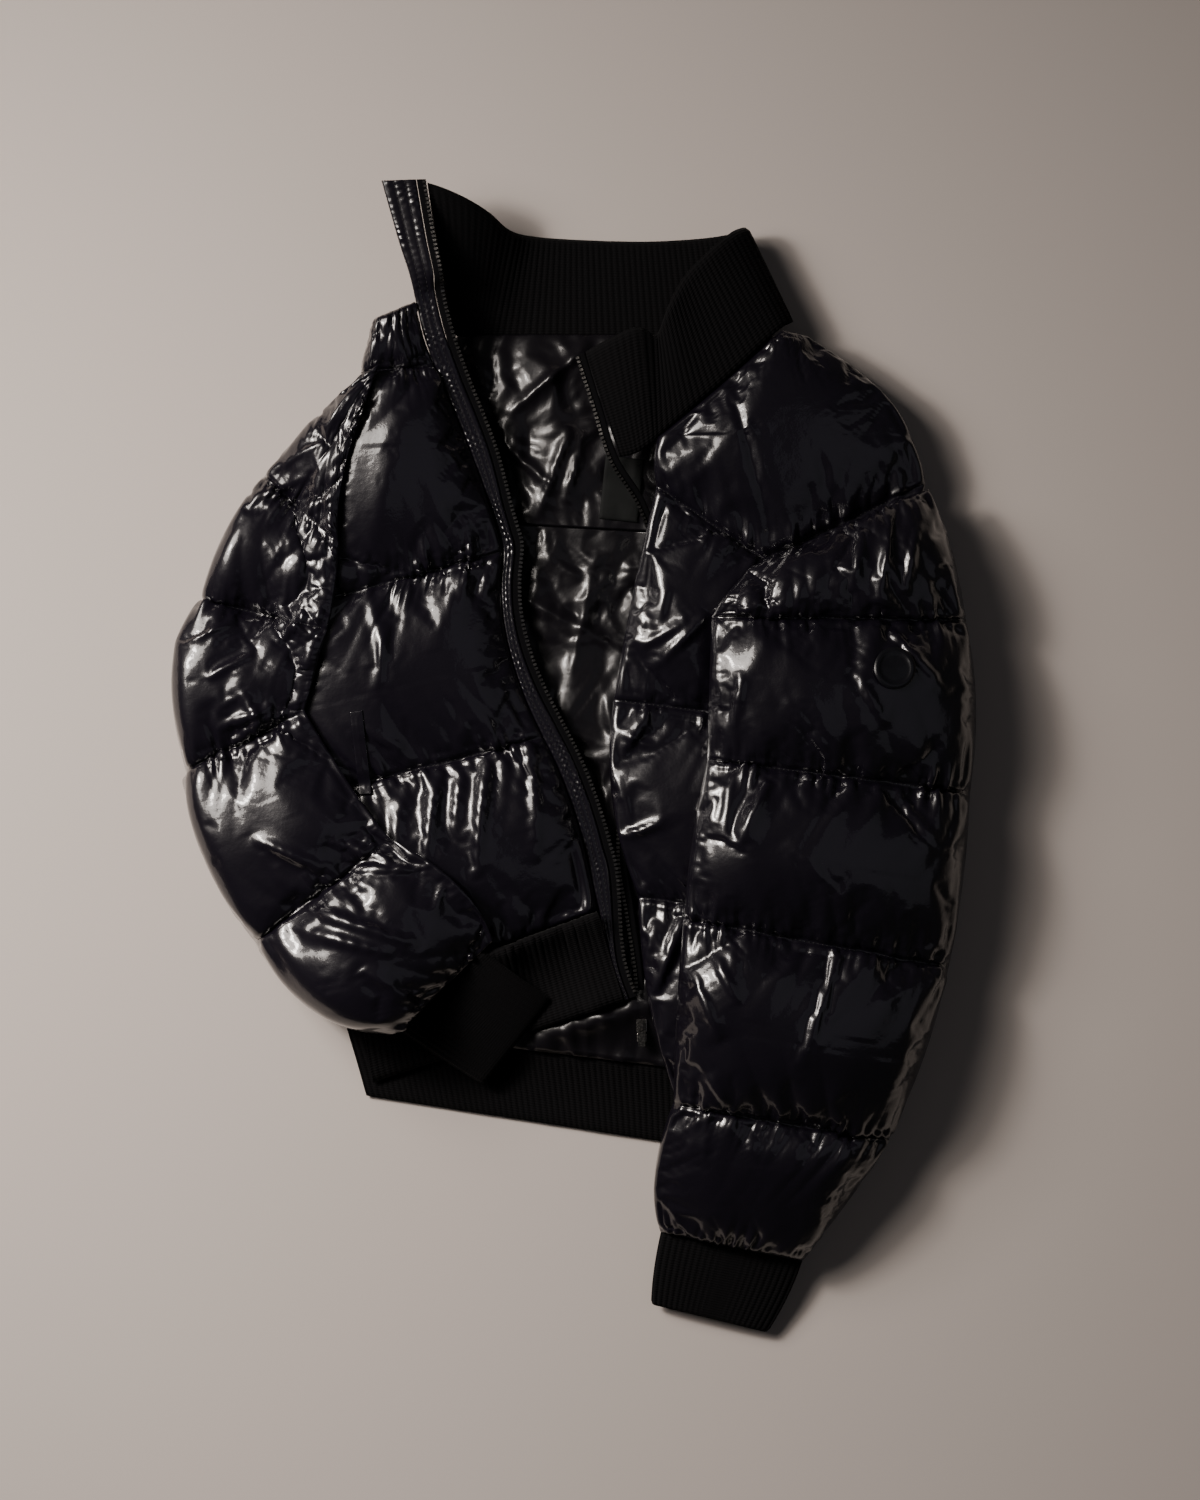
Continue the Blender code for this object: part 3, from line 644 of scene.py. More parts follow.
yoke = laid_cloth("neck_yoke_lining", "back_lining_yoke", LINING_YOKE, YOKE_FOLDS, 2.0)
body_lining = laid_cloth("body_lining", "back_lining", LINING_BACK, LINING_FOLDS, 9.0)
pile.lay(yoke)
pile.lay(body_lining)

# ---------------------------------------------------------------------------------------------------------
# The right front. The same quilted nylon and down as the back. Stitching holds it down at each quilting
# line and edge, and the cloth gathers into small tucks where the thread draws it in.

SIDE_EDGE = 3.0
CLOTH_STEP = 3.4
FRONT_RIGHT = [
    Section("seam", -126, 319, 50, -113, 325, 54, 8),
    Section("full", -131, 296, 48, -108, 303, 52, 13),
    Section("seam", -135, 276, 42, -100, 280, 47, 12),
    Section("full", -167, 196, 34, -68, 202, 40, 30),
    Section("seam", -179, 111, 32, -51, 147, 36, 14),
    Section("full", -200, 44, 30, -48, 82, 35, 28),
    Section("seam", -190, -30, 28, -22, 13, 34, 14),
    Section("full", -170, -100, 27, 2, -46, 33, 26),
    Section("seam", -155, -175, 26, 17, -112, 31, 8),
]
FRONT_RIGHT_FOLDS = [
    Fold(-116, 272, -147, 138, 24, 10),
    Fold(-169, 118, -181, 70, 5, 5),
    Fold(-133, 94, -141, 42, 5, 4),
    Fold(-96, -10, -107, -82, 5, 6),
    Fold(-61, 0, -71, -88, 6, 7),
    Fold(-80, -8, -86, -60, 5, 5),
    Fold(-30, 8, -27, -78, 6, 5),
    Fold(-122, -20, -128, -70, 5, 4),
    Fold(-150, 130, -132, 60, 6, 3),
    Fold(-150, 20, -120, 4, 4, 3),
]
CLOTH_GROWTH = 0.025  # the cloth is cut this much larger than the space between its seams
CLOTH_FRAMES, CLOTH_REACH = 22, 14.0  # how long the simulation runs, and the furthest that a point moves
# The nylon in the simulation's own units: light, limp and hardly stretched.
CLOTH = dict(
    quality=6,
    mass=0.15,
    tension_stiffness=18,
    compression_stiffness=18,
    shear_stiffness=6,
    bending_stiffness=0.05,
    air_damping=2,
    use_pressure=True,
    vertex_group_mass="held",
)
# Short tucks beside a seam and the longer ones that run into the puff: pitch, height and reach.
TUCK_PITCH, TUCK_HIGH, TUCK_REACH = 5.6, 8.5, 5.5
LONG_PITCH, LONG_HIGH, LONG_REACH = 19.0, 5.0, 15.0
TUCK_PATCH = 38.0  # along a seam, the tucks come and go in patches of this length
TUCK_BEND, LONG_BEND = 45.0, 90.0  # over this length away from the seam a tuck turns into another one
STITCH_LONG, STITCH_GAP, THREAD = 2.3, 1.0, 0.35
GIVES = 0.4  # how much of a push from below comes through the padding
SINK = 1.0  # how far the thread draws the top down
SAG = 28.0  # how far an underside may hang down onto what is below it
FLANK_PITCH, FLANK_HIGH = 13.0, 9.0  # the folds of the cloth where a side turns under

# Spun polyester thread: its twist of 0.4 mm gives it a dull grain beside the glossy cloth.
thread, thread_tree, thread_shader = new_material(
    "spun polyester sewing thread", {"Base Color": linear("#0e0d10"), "Roughness": 0.6, "IOR": 1.55}
)
thread_where = add(thread_tree, "ShaderNodeTexCoord").outputs["Object"]
thread_twist = add(
    thread_tree, "ShaderNodeTexNoise", {"Scale": 1 / (0.4 * mm), "Detail": 2.0}, Vector=thread_where
)
thread_bump = add(
    thread_tree, "ShaderNodeBump", {"Strength": 0.5, "Distance": 0.1 * mm}, Height=thread_twist.outputs["Fac"]
)
thread_tree.links.new(thread_bump.outputs["Normal"], thread_shader.inputs["Normal"])


def inflate(top, held, pressure):
    """Blows cloth up against its seams. It is cut larger than the space between them, so it gathers."""
    rows, columns = top.shape[:2]
    bag = mesh_object("bag", top.reshape(-1, 3), grid_faces(rows, columns))
    bag.vertex_groups.new(name="held").add(np.flatnonzero(held).tolist(), 1.0, "ADD")
    cloth = bag.modifiers.new("cloth", "CLOTH")
    for setting, value in CLOTH.items():
        setattr(cloth.settings, setting, value)
    cloth.settings.uniform_pressure_force = pressure
    cloth.settings.shrink_min = cloth.settings.shrink_max = -CLOTH_GROWTH
    cloth.settings.effector_weights.gravity = 0
    cloth.collision_settings.use_collision = False
    for step in range(1, CLOTH_FRAMES + 1):
        bpy.context.scene.frame_set(step)
    shaped = bag.evaluated_get(bpy.context.evaluated_depsgraph_get()).to_mesh()
    points = np.empty(len(shaped.vertices) * 3)
    shaped.vertices.foreach_get("co", points)
    bpy.data.objects.remove(bag, do_unlink=True)
    bpy.context.scene.frame_set(1)
    move = points.reshape(rows, columns, 3) / mm - top
    far = np.linalg.norm(move, axis=2, keepdims=True)
    return top + move * np.minimum(1, CLOTH_REACH / np.maximum(far, 1e-6))


def gathered(grid, seams, seed):
    """Small tucks that run away from both sides of each seam and die out."""
    rise = np.zeros(grid.shape[:2])
    steps = np.linalg.norm(np.diff(grid, axis=0), axis=2)
    down = np.concatenate([np.zeros((1, grid.shape[1])), np.cumsum(steps, axis=0)])
    for order, seam in enumerate(seams):
        line = lengths(grid[seam])
        patches = [0.6 + 1.5 * noise.noise(Vector((s / TUCK_PATCH, seed, order))) for s in line]
        uneven = np.clip(patches, 0.12, 1.25)
        for way in (-1, 1):
            for r in range(seam + way, -1 if way < 0 else len(grid), way):
                away = np.abs(down[r] - down[seam])
                if away.min() > 4 * LONG_REACH:
                    break
                near = away / TUCK_REACH * np.exp(1 - away / TUCK_REACH)
                drawn = away / LONG_REACH * np.exp(1 - away / LONG_REACH)
                place = seed + 3.7 * order + 1.3 * way
                fine, broad = [], []
                for s, a in zip(line, away):
                    fine.append(noise.noise(Vector((s / TUCK_PITCH, a / TUCK_BEND, place))))
                    slanted = Vector(((s + 0.4 * a) / LONG_PITCH, a / LONG_BEND, place + 9))
                    broad.append(noise.noise(slanted))
                rise[r] += TUCK_HIGH * near * np.abs(fine) * uneven + LONG_HIGH * drawn * np.abs(broad)
    return rise


def at_length(run, line, s):
    """The point of a line at this length along it."""
    return np.array([np.interp(s, run, line[:, k]) for k in range(3)])


def thread_line(name, lines):
    """Stitches of sewing thread along these lines of points."""
    points, faces = [], []
    for line in lines:
        run = lengths(line)
        for s in np.arange(1.0, run[-1] - STITCH_LONG - 1.0, STITCH_LONG + STITCH_GAP):
            start, middle, end = (at_length(run, line, s + STITCH_LONG * share) for share in (0, 0.5, 1))
            way = end - start
            side = np.cross(way, (0, 0, 1))
            side /= max(np.linalg.norm(side), 1e-9)
            up = np.cross(side, way)
            up /= max(np.linalg.norm(up), 1e-9)
            base = len(points)
            points += [start, end]
            points += [middle + up * THREAD + turn * THREAD for turn in (side, up, -side, -up)]
            for k in range(4):
                m, n = base + 2 + k, base + 2 + (k + 1) % 4
                faces += [(base, m, n), (base + 1, n, m)]
    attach(mesh_object(name, np.array(points), faces, thread), "jacket")


def quilted(name, node, table, seed, folds, widen=(0.0, 0.0), lift=(0.0, 0.0), square=3.6, pressure=4.5):
    """A padded panel that lies on the pile, blown up and gathered at its seams.

    widen and lift move its left and right sides out and up, and a higher square makes its sides steeper.
    """
    rows, seams = fine_sections(table, CLOTH_STEP)
    out = rows[:, 3:5] - rows[:, 0:2]
    out /= np.linalg.norm(out, axis=1, keepdims=True)
    rows[:, 0:2] -= out * widen[0]
    rows[:, 3:5] += out * widen[1]
    wide = np.linalg.norm(rows[:, 3:5] - rows[:, 0:2], axis=1).mean()
    x, y, z, loft, u = spread(rows, 2 * round(wide / CLOTH_STEP / 2))
    full = swell(u, square)
    free = z - loft / 2 * full
    below = pile.under(x, y, reach=9.0) + CLEAR
    low = settled(np.maximum(free, below), passes=14)
    dent = np.zeros(len(rows))
    dent[seams[1:-1]] = SINK
    top = free + SIDE_EDGE + np.maximum(loft - SIDE_EDGE - dent[:, None], 0) * full
    top += (lift[0] * (1 - u) + lift[1] * u) * full
    top = np.maximum(top + GIVES * averaged(low - free, passes=30), low + SIDE_EDGE)
    top += folded(x, y, folds) * full
    held = np.zeros(top.shape)
    held[seams] = held[:, [0, -1]] = 1
    shaped = finer(inflate(np.dstack([x, y, top]), held, pressure))
    fine_seams = [2 * seam for seam in seams]
    fine_full = swell(np.linspace(0, 1, shaped.shape[1]), square)[None, :, None]
    shaped += normals_of(shaped) * gathered(shaped, fine_seams, seed)[..., None] * fine_full**0.5
    # Below its side edges the panel turns under, and there the cloth is drawn into folds too.
    flank = np.sqrt(np.clip(4 * full * (1 - full), 0, 1))
    share = np.linspace(0, 1, len(rows))[:, None]
    sag = SAG * full * np.clip(8 * np.minimum(share, 1 - share), 0, 1)
    low = np.minimum(low, settled(np.maximum(low - sag, below), passes=4))
    underside = np.dstack([x, y, low])
    tucks = FLANK_HIGH * np.abs(ripple(x, y, FLANK_PITCH, seed + 5)) * flank
    underside += normals_of(underside) * tucks[..., None]
    made = closed_panel(name, shaped, underside, nylon, skip=1)
    belongs(made, node)
    thread_line(name + "_stitches", [shaped[seam, 2:-2] for seam in fine_seams[1:-1]])
    pile.lay(made)
    return rows


front_right_rows = quilted(
    "front_right_quilted",
    "front_right",
    FRONT_RIGHT,
    seed=11.0,
    folds=FRONT_RIGHT_FOLDS,
    widen=(18.0, 0.0),
    lift=(16.0, 0.0),
    square=6.0,
)
hem_band("hem_band_front_right", "hem_rib_front_right", HEM_RIB_FRONT_RIGHT)

# ---------------------------------------------------------------------------------------------------------
# The welt of the right hand pocket. A folded strip of the shell nylon, laid on the front and topstitched
# round its edges.

POCKET_WELT = dict(middle=(-152.0, 2.0), wide=9.0, long=60.0, thick=0.5, slant=6.0)
PATCH_STEP = 1.5
TURNED_EDGE = 1.2
TOPSTITCH_INSET, TOPSTITCH_WIDE, TOPSTITCH_DEEP = 2.2, 0.7, 0.5


def turned(x, y, degrees):
    """Points of the plan turned about the origin."""
    angle = math.radians(degrees)
    return x * math.cos(angle) - y * math.sin(angle), x * math.sin(angle) + y * math.cos(angle)


def laid_patch(name, node, sizes, finish):
    """A small flat piece sewn on a panel: it follows the cloth under it and its edges are turned in."""
    columns, rows = (2 * round(sizes[side] / PATCH_STEP / 2) for side in ("wide", "long"))
    s, t = np.meshgrid(
        np.linspace(-0.5, 0.5, columns + 1) * sizes["wide"], np.linspace(0.5, -0.5, rows + 1) * sizes["long"]
    )
    x, y = turned(s, t, sizes["slant"])
    x, y = x + sizes["middle"][0], y + sizes["middle"][1]
    low = settled(pile.under(x, y, reach=3.0), passes=6)
    inside = np.minimum(sizes["wide"] / 2 - np.abs(s), sizes["long"] / 2 - np.abs(t))
    body = sizes["thick"] * np.clip(inside / TURNED_EDGE, 0.15, 1) ** 0.5
    topstitching = TOPSTITCH_DEEP * np.exp(-(((inside - TOPSTITCH_INSET) / TOPSTITCH_WIDE) ** 2))
    top = low + REST_GAP + body - topstitching
    made = closed_panel(name, finer(np.dstack([x, y, top])), np.dstack([x, y, low]), finish)
    belongs(made, node)
    return made


welt = laid_patch("pocket_welt", "pocket_welt_right", POCKET_WELT, nylon)

# ---------------------------------------------------------------------------------------------------------
# The right sleeve and its cuff. The sleeve is a quilted tube that lies flat, bent at the elbow, with its
# cuff of doubled rib knit lying across the hem.

SLEEVE_RIGHT = [
    Section("seam", -138, 279, 24, -152, 240, 30, 16),
    Section("full", -178, 248, 22, -167.5, 196, 31, 40),
    Section("seam", -224, 202, 20, -174, 158, 31, 24),
    Section("full", -254, 155, 24, -178, 122, 34, 52),
    Section("seam", -268, 112, 22, -184, 92, 38, 28),
    Section("full", -289, 62, 26, -193, 60, 44, 54),
    Section("seam", -280, -13, 22, -200, 28, 48, 34),
    Section("full", -267, -74, 26, -164, -30, 52, 58),
    Section("seam", -230, -135, 24, -137, -65, 62, 30),
    Section("full", -186, -185, 26, -88, -99, 66, 54),
    Section("seam", -126, -199, 28, -64, -139, 52, 16),
]
SLEEVE_RIGHT_FOLDS = [
    Fold(-172, -60, -110, -84, 5, 6),
    Fold(-165, -80, -115, -82, 4, 4),
    Fold(-190, -108, -110, -134, 5, 6),
    Fold(-192, -124, -126, -141, 4, 5),
    Fold(-228, -58, -178, -80, 5, 5),
    Fold(-258, 18, -212, 36, 5, 6),
    Fold(-248, 4, -216, 30, 4, 5),
    Fold(-237, 47, -217, 12, 4, 5),
    Fold(-214, 110, -188, 82, 5, 5),
    Fold(-212, 80, -190, 102, 4, 5),
    Fold(-262, 54, -226, 74, 4, 5),
    Fold(-231, 184, -188, 200, 5, 4),
    Fold(-220, 202, -178, 224, 5, 5),
    Fold(-150, -150, -110, -176, 5, 4),
    Fold(-276, 80, -240, 96, 5, 4),
]
CUFF_RIGHT = [
    Section("seam", -125.7, -199.3, 28, -63.7, -139.3, 52, 14),
    Section("full", -94, -221, 24, -37, -160, 44, 11),
    Section("seam", -66, -239, 18, -16, -175, 34, 9),
]
CUFF_WALL = 2.6
CUFF_ROUND = 1.2  # how far the folded edge turns in


def knit_cuff(name, node, table, around):
    """A ribbed tube that lies flat, open at its end, with ribs along it."""
    rows, _ = fine_sections(table, spacing=3.0)
    left, right, half = rows[:, 0:3], rows[:, 3:6], rows[:, 6] / 2
    # The tube's section is a flattened ring with round sides.
    turn = np.linspace(0, 2 * math.pi, 2 * round(around / RIB_STEP / 2), endpoint=False)
    lie, stand = -np.cos(turn), np.sin(turn)
    lie = np.sign(lie) * np.abs(lie) ** 0.75
    stand = np.sign(stand) * np.abs(stand) ** 0.6
    centre, reach = (left + right) / 2, (right - left) / 2
    ring = centre[:, None, :] + reach[:, None, :] * lie[None, :, None] * 0.99
    ring[..., 2] += half[:, None] * stand[None, :]
    ring = np.concatenate([ring, ring[:, :1]], axis=1)
    out = normals_of(ring)
    out[:, 0] = out[:, -1] = (out[:, 1] + out[:, -2]) / 2
    out /= np.linalg.norm(out, axis=2, keepdims=True)
    # A whole number of ribs goes round it.
    along = lengths(ring[len(ring) // 2])
    pitch = along[-1] / round(along[-1] / RIB_PITCH)
    kept = folded_edge(np.linspace(0, 1, len(rows)), least=0.05)[:, None]
    rise = RIB_HIGH * (ribs(along * RIB_PITCH / pitch) - 1)[None, :] * kept - (1 - kept) * CUFF_ROUND
    skin = ring + out * rise[..., None]
    inner = ring - out * np.minimum(CUFF_WALL, half[:, None, None] * 0.62)
    grid = np.concatenate([skin, inner[::-1]])[:, :-1]
    r, c = grid.shape[:2]
    faces = []
    for i in range(r):
        for j in range(c):
            here, below, beside = i * c, (i + 1) % r * c, (j + 1) % c
            faces.append((here + j, below + j, below + beside, here + beside))
    made = mesh_object(name, grid.reshape(-1, 3), faces, knit)
    down = lengths(centre)
    set_uv(made, np.dstack(np.meshgrid(along[:-1], np.concatenate([down, down[::-1]]))).reshape(-1, 2))
    belongs(made, node)
    pile.lay(made)


quilted(
    "sleeve_right_quilted",
    "sleeve_right",
    SLEEVE_RIGHT,
    seed=23.0,
    folds=SLEEVE_RIGHT_FOLDS,
    widen=(0.0, 9.0),
    lift=(22.0, -27.0),
    square=5.2,
    pressure=3.0,
)
knit_cuff("cuff_right_knit", "cuff_right", CUFF_RIGHT, around=190.0)

# ---------------------------------------------------------------------------------------------------------
# The placket and zip half of the right front. A doubled strip of the shell with rows of stitching stands
# along the front's edge and up the collar, and the zip's tape with its metal teeth is sewn behind its
# free edge.

# Its width by the share of the front's length, and the ends of its first rungs, on the collar.
PLACKET_WIDE = [(0.0, 15.0), (0.2, 14.0), (0.32, 9.0), (0.55, 7.5), (0.7, 12.0), (1.0, 13.0)]
PLACKET_ON_COLLAR = [
    (-136.5, 410, 69, -112, 411, 68),
    (-124.5, 368, 65, -105, 370, 66),
    (-117, 345, 61, -100, 346, 63),
]
PLACKET_THICK = 3.6
HEM_EDGE_HEIGHT = 31.0
HEM_PLACKET_WIDE = 3.4
SEAM_GAP = 0.4
RUNG_STEP = 1.0
PUCKER_PITCH = 4.6
TAPE_WIDE, TAPE_THICK = 6.5, 1.6
TOOTH_PITCH = 3.0
TOOTH = dict(long=1.7, wide=2.6, thick=2.2)

# Woven polyester tape: a dull herringbone that takes almost no highlight. Its yarns are 0.6 mm apart, and
# are drawn 1.2 mm apart, because they wouldn't show.
DIAGONAL_BANDS = 1.592  # a wave texture's slanting bands in one unit along an axis
tape, tape_tree, tape_shader = new_material(
    "woven polyester zip tape",
    {"Base Color": linear("#0a0a0c"), "Roughness": 0.9, "IOR": 1.55, "Specular IOR Level": 0.06},
)
tape_where = add(tape_tree, "ShaderNodeTexCoord").outputs["Object"]
tape_weave = add(
    tape_tree,
    "ShaderNodeTexWave",
    {"bands_direction": "DIAGONAL", "Scale": 1 / (1.208 * mm * DIAGONAL_BANDS)},
    Vector=tape_where,
)
tape_bump = add(
    tape_tree, "ShaderNodeBump", {"Strength": 0.5, "Distance": 0.2 * mm}, Height=tape_weave.outputs["Fac"]
)
tape_tree.links.new(tape_bump.outputs["Normal"], tape_shader.inputs["Normal"])

# Gunmetal plating on brass: a dark warm metal, polished by use in spots of 1.4 mm, so it glints unevenly.
gunmetal, gunmetal_tree, gunmetal_shader = new_material(
    "gunmetal plated brass", {"Base Color": linear("#8f8c89"), "Metallic": 1.0}
)
gunmetal_where = add(gunmetal_tree, "ShaderNodeTexCoord").outputs["Object"]
gunmetal_wear = add(
    gunmetal_tree, "ShaderNodeTexNoise", {"Scale": 1 / (1.429 * mm), "Detail": 3.0}, Vector=gunmetal_where
)
gunmetal_rough = add(
    gunmetal_tree,
    "ShaderNodeMapRange",
    {"From Min": 0.3, "From Max": 0.7, "To Min": 0.16, "To Max": 0.32},
    Value=gunmetal_wear.outputs["Fac"],
)
gunmetal_tree.links.new(gunmetal_rough.outputs["Result"], gunmetal_shader.inputs["Roughness"])


def smooth_line(values, spacing):
    """Catmull-Rom rows through rows of numbers, about this far apart."""
    values = np.asarray(values, float)
    out = []
    for k in range(len(values) - 1):
        p0, p1, p2, p3 = (values[min(max(k + j, 0), len(values) - 1)] for j in (-1, 0, 1, 2))
        steps = max(1, round(np.linalg.norm((p2 - p1)[:3]) / spacing))
        for t in np.arange(steps) / steps:
            square = (2 * p0 - 5 * p1 + 4 * p2 - p3) * t**2
            cube = (3 * p1 - p0 - 3 * p2 + p3) * t**3
            out.append(0.5 * (2 * p1 + (p2 - p0) * t + square + cube))
    out.append(values[-1])
    return np.array(out)


def strip(name, node, rungs, thick, profile, finish, columns):
    """A strip between the two ends of each rung: profile gives its height from its run and share across."""
    rungs = smooth_line(rungs, RUNG_STEP)
    v = np.linspace(0, 1, columns + 1)[None, :, None]
    middle = rungs[:, None, :3] * (1 - v) + rungs[:, None, 3:] * v
    run = lengths(middle[:, columns // 2])[:, None] * np.ones((1, columns + 1))
    normal = normals_of(middle)
    if normal[..., 2].mean() < 0:
        normal = -normal
    half = thick / 2 * np.clip(np.sin(np.pi * v[..., 0]) * 3.0, 0.6, 1) ** 0.5
    top = middle + normal * (half + profile(run, v[..., 0] * np.ones_like(run)))[..., None]
    made = two_skins(name, top, middle - normal * half[..., None], finish)
    belongs(made, node)
    return made, top


def puckered(run, v):
    """Three channels between rows of stitching, with a pucker at every stitch."""
    wander = ripple(run, v * 30, 26.0, 4.0)
    channel = np.abs(np.sin(3 * np.pi * v)) ** 0.6
    tuck = 0.5 + 0.5 * np.cos(2 * np.pi * (run + 6.0 * wander) / PUCKER_PITCH + 5 * v)
    return channel * (0.35 + 0.75 * tuck * np.abs(wander) * 1.8)


def level(run, v):
    """No puckers."""
    return 0.0 * run


def beyond(rungs, wide):
    """Rungs of the next strip, sewn on at the free side of these."""
    rungs = np.asarray(rungs, float)
    out = rungs[:, 3:] - rungs[:, :3]
    out /= np.linalg.norm(out, axis=1, keepdims=True)
    return np.hstack([rungs[:, 3:] + out * SEAM_GAP, rungs[:, 3:] + out * (SEAM_GAP + wide)])


def teeth(name, line, inward):
    """Stamped teeth clamped along a tape's free edge."""
    run = lengths(line)
    points, faces = [], []
    half = np.array([TOOTH["long"], TOOTH["wide"], TOOTH["thick"]]) / 2
    # A flat foot on the tape and a narrower head, as shares of the tooth's half length and half width.
    corners = [(-1, -1), (1, -1), (1, 0.5), (0.55, 1), (-0.55, 1), (-1, 0.5)]
    n = len(corners)
    for s in np.arange(2.0, run[-1] - 2.0, TOOTH_PITCH):
        at = at_length(run, line, s)
        ahead = at_length(run, line, s + 0.5) - at
        ahead /= np.linalg.norm(ahead)
        side = at_length(run, inward, s)
        side -= ahead * side.dot(ahead)
        side /= np.linalg.norm(side)
        up = np.cross(ahead, side)
        up *= 1 if up[2] > 0 else -1
        base = len(points)
        for h in (-1, 1):
            points += [at + ahead * a * half[0] + side * b * half[1] + up * h * half[2] for a, b in corners]
        flip = np.cross(ahead, side).dot(up) < 0
        quads = [(base + k, base + (k + 1) % n, base + n + (k + 1) % n, base + n + k) for k in range(n)]
        quads += [tuple(base + n + k for k in range(n)), tuple(base + k for k in reversed(range(n)))]
        faces += [q[::-1] for q in quads] if flip else quads
    made = mesh_object(name, np.array(points), faces, gunmetal, smooth=False)
    belongs(made)


def zip_half(side, rungs):
    """One side's tape with its row of teeth."""
    name, node = f"zip_tape_{side}_woven", f"zip_tape_{side}"
    woven, top = strip(name, node, rungs, TAPE_THICK, level, tape, 6)
    teeth(f"zip_teeth_{side}", top[:, 5], top[:, -1] - top[:, 0])


placket_rungs = list(PLACKET_ON_COLLAR)
for k in range(0, len(front_right_rows), 8):
    row = front_right_rows[k]
    wide = np.interp(k / (len(front_right_rows) - 1), *zip(*PLACKET_WIDE))
    out = Vector((row[3] - row[0], row[4] - row[1], 0)).normalized()
    start = Vector((row[3], row[4], row[5] + SIDE_EDGE / 2)) + out * SEAM_GAP
    placket_rungs.append((*start, *(start + out * wide - Vector((0, 0, 1.0)))))
for row in HEM_RIB_FRONT_RIGHT[1:]:
    out = Vector((row.rx - row.lx, row.ry - row.ly, 0)).normalized()
    start = Vector((row.rx, row.ry, HEM_EDGE_HEIGHT)) + out * SEAM_GAP
    placket_rungs.append((*start, *(start + out * HEM_PLACKET_WIDE)))
placket, placket_top = strip(
    "placket_right_strip", "placket_right", placket_rungs, PLACKET_THICK, puckered, nylon, 18
)
thread_line("placket_stitches", [placket_top[:, 6], placket_top[:, 12]])
zip_half("right", beyond(placket_rungs, TAPE_WIDE))

# ---------------------------------------------------------------------------------------------------------
# The left front, its hem band and its half of the zip. The front is folded under the left sleeve, and the
# zip's box, slider and pull tab are parked at its foot.

FRONT_LEFT = [
    Section("seam", 150, 306, 40, 167, 303, 32, 10),
    Section("full", 106, 266, 43, 220, 265, 32, 24),
    Section("bend", 61, 229, 43, 244, 229, 30, 26),
    Section("full", 58, 212, 42, 251, 212, 29, 23, 30),
    Section("seam", 60, 194, 38, 254, 196, 28, 12, 54),
    Section("full", 44, 122, 38, 244, 112, 28, 28, 14),
    Section("seam", 29, 40, 34, 233, 15, 26, 14),
    Section("full", 28, -32, 36, 226, -61, 26, 28),
    Section("seam", 47, -102, 32, 218, -126, 24, 14),
    Section("full", 54.5, -178, 34, 211, -190, 22, 26),
    Section("seam", 74, -246, 24, 201, -243, 18, 8),
]
FRONT_LEFT_FOLDS = [
    Fold(56, 60, 98, 102, 7, 8),
    Fold(46, 76, 84, 98, 5, 5),
    Fold(60, 90, 70, 122, 5, 4),
    Fold(36, 0, 55, 36, 5, 6),
    Fold(33, 18, 60, 5, 4, 5),
    Fold(38, -58, 66, -48, 4, 5),
    Fold(61, -170, 76, -118, 6, 7),
    Fold(85, -184, 104, -125, 7, 7),
    Fold(52, -150, 58, -120, 5, 4),
    Fold(116, 254, 141, 168, 4, -4),
    Fold(36, 100, 52, 150, 6, 4),
    Fold(30, -10, 52, -70, 7, 5),
]
# The ends of the tape's rungs, from the collar down.
ZIP_LEFT = [
    (8.4, 289.6, 51, 1.5, 287, 50),
    (20.6, 251, 49, 14, 248.6, 48),
    (32.6, 214, 46.5, 26, 211.6, 45.5),
    (53, 181, 37, 47, 178, 36),
    (64, 140, 25.5, 57, 138, 25.5),
    (62, 60, 25.5, 55, 60, 25.5),
    (44, -10, 25.5, 37, -10, 25.5),
    (38, -68, 25.5, 31, -68, 25.5),
    (44, -112, 25.5, 37, -114, 25.5),
    (50, -156, 25, 43.5, -157, 25),
    (52.8, -200, 23.5, 46.2, -200, 23.5),
]
quilted("front_left_quilted", "front_left", FRONT_LEFT, 31.0, FRONT_LEFT_FOLDS)
hem_band("hem_band_front_left", "hem_rib_front_left", HEM_RIB_FRONT_LEFT)
zip_half("left", ZIP_LEFT)
for node in ("zip_slider", "zip_box_left", "pull_tab"):
    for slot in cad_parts[node].material_slots:
        slot.material = gunmetal

# ---------------------------------------------------------------------------------------------------------
# The left sleeve and its cuff, which lie over the left front. They are made as the right ones are, and
# the sleeve hides the left pocket.

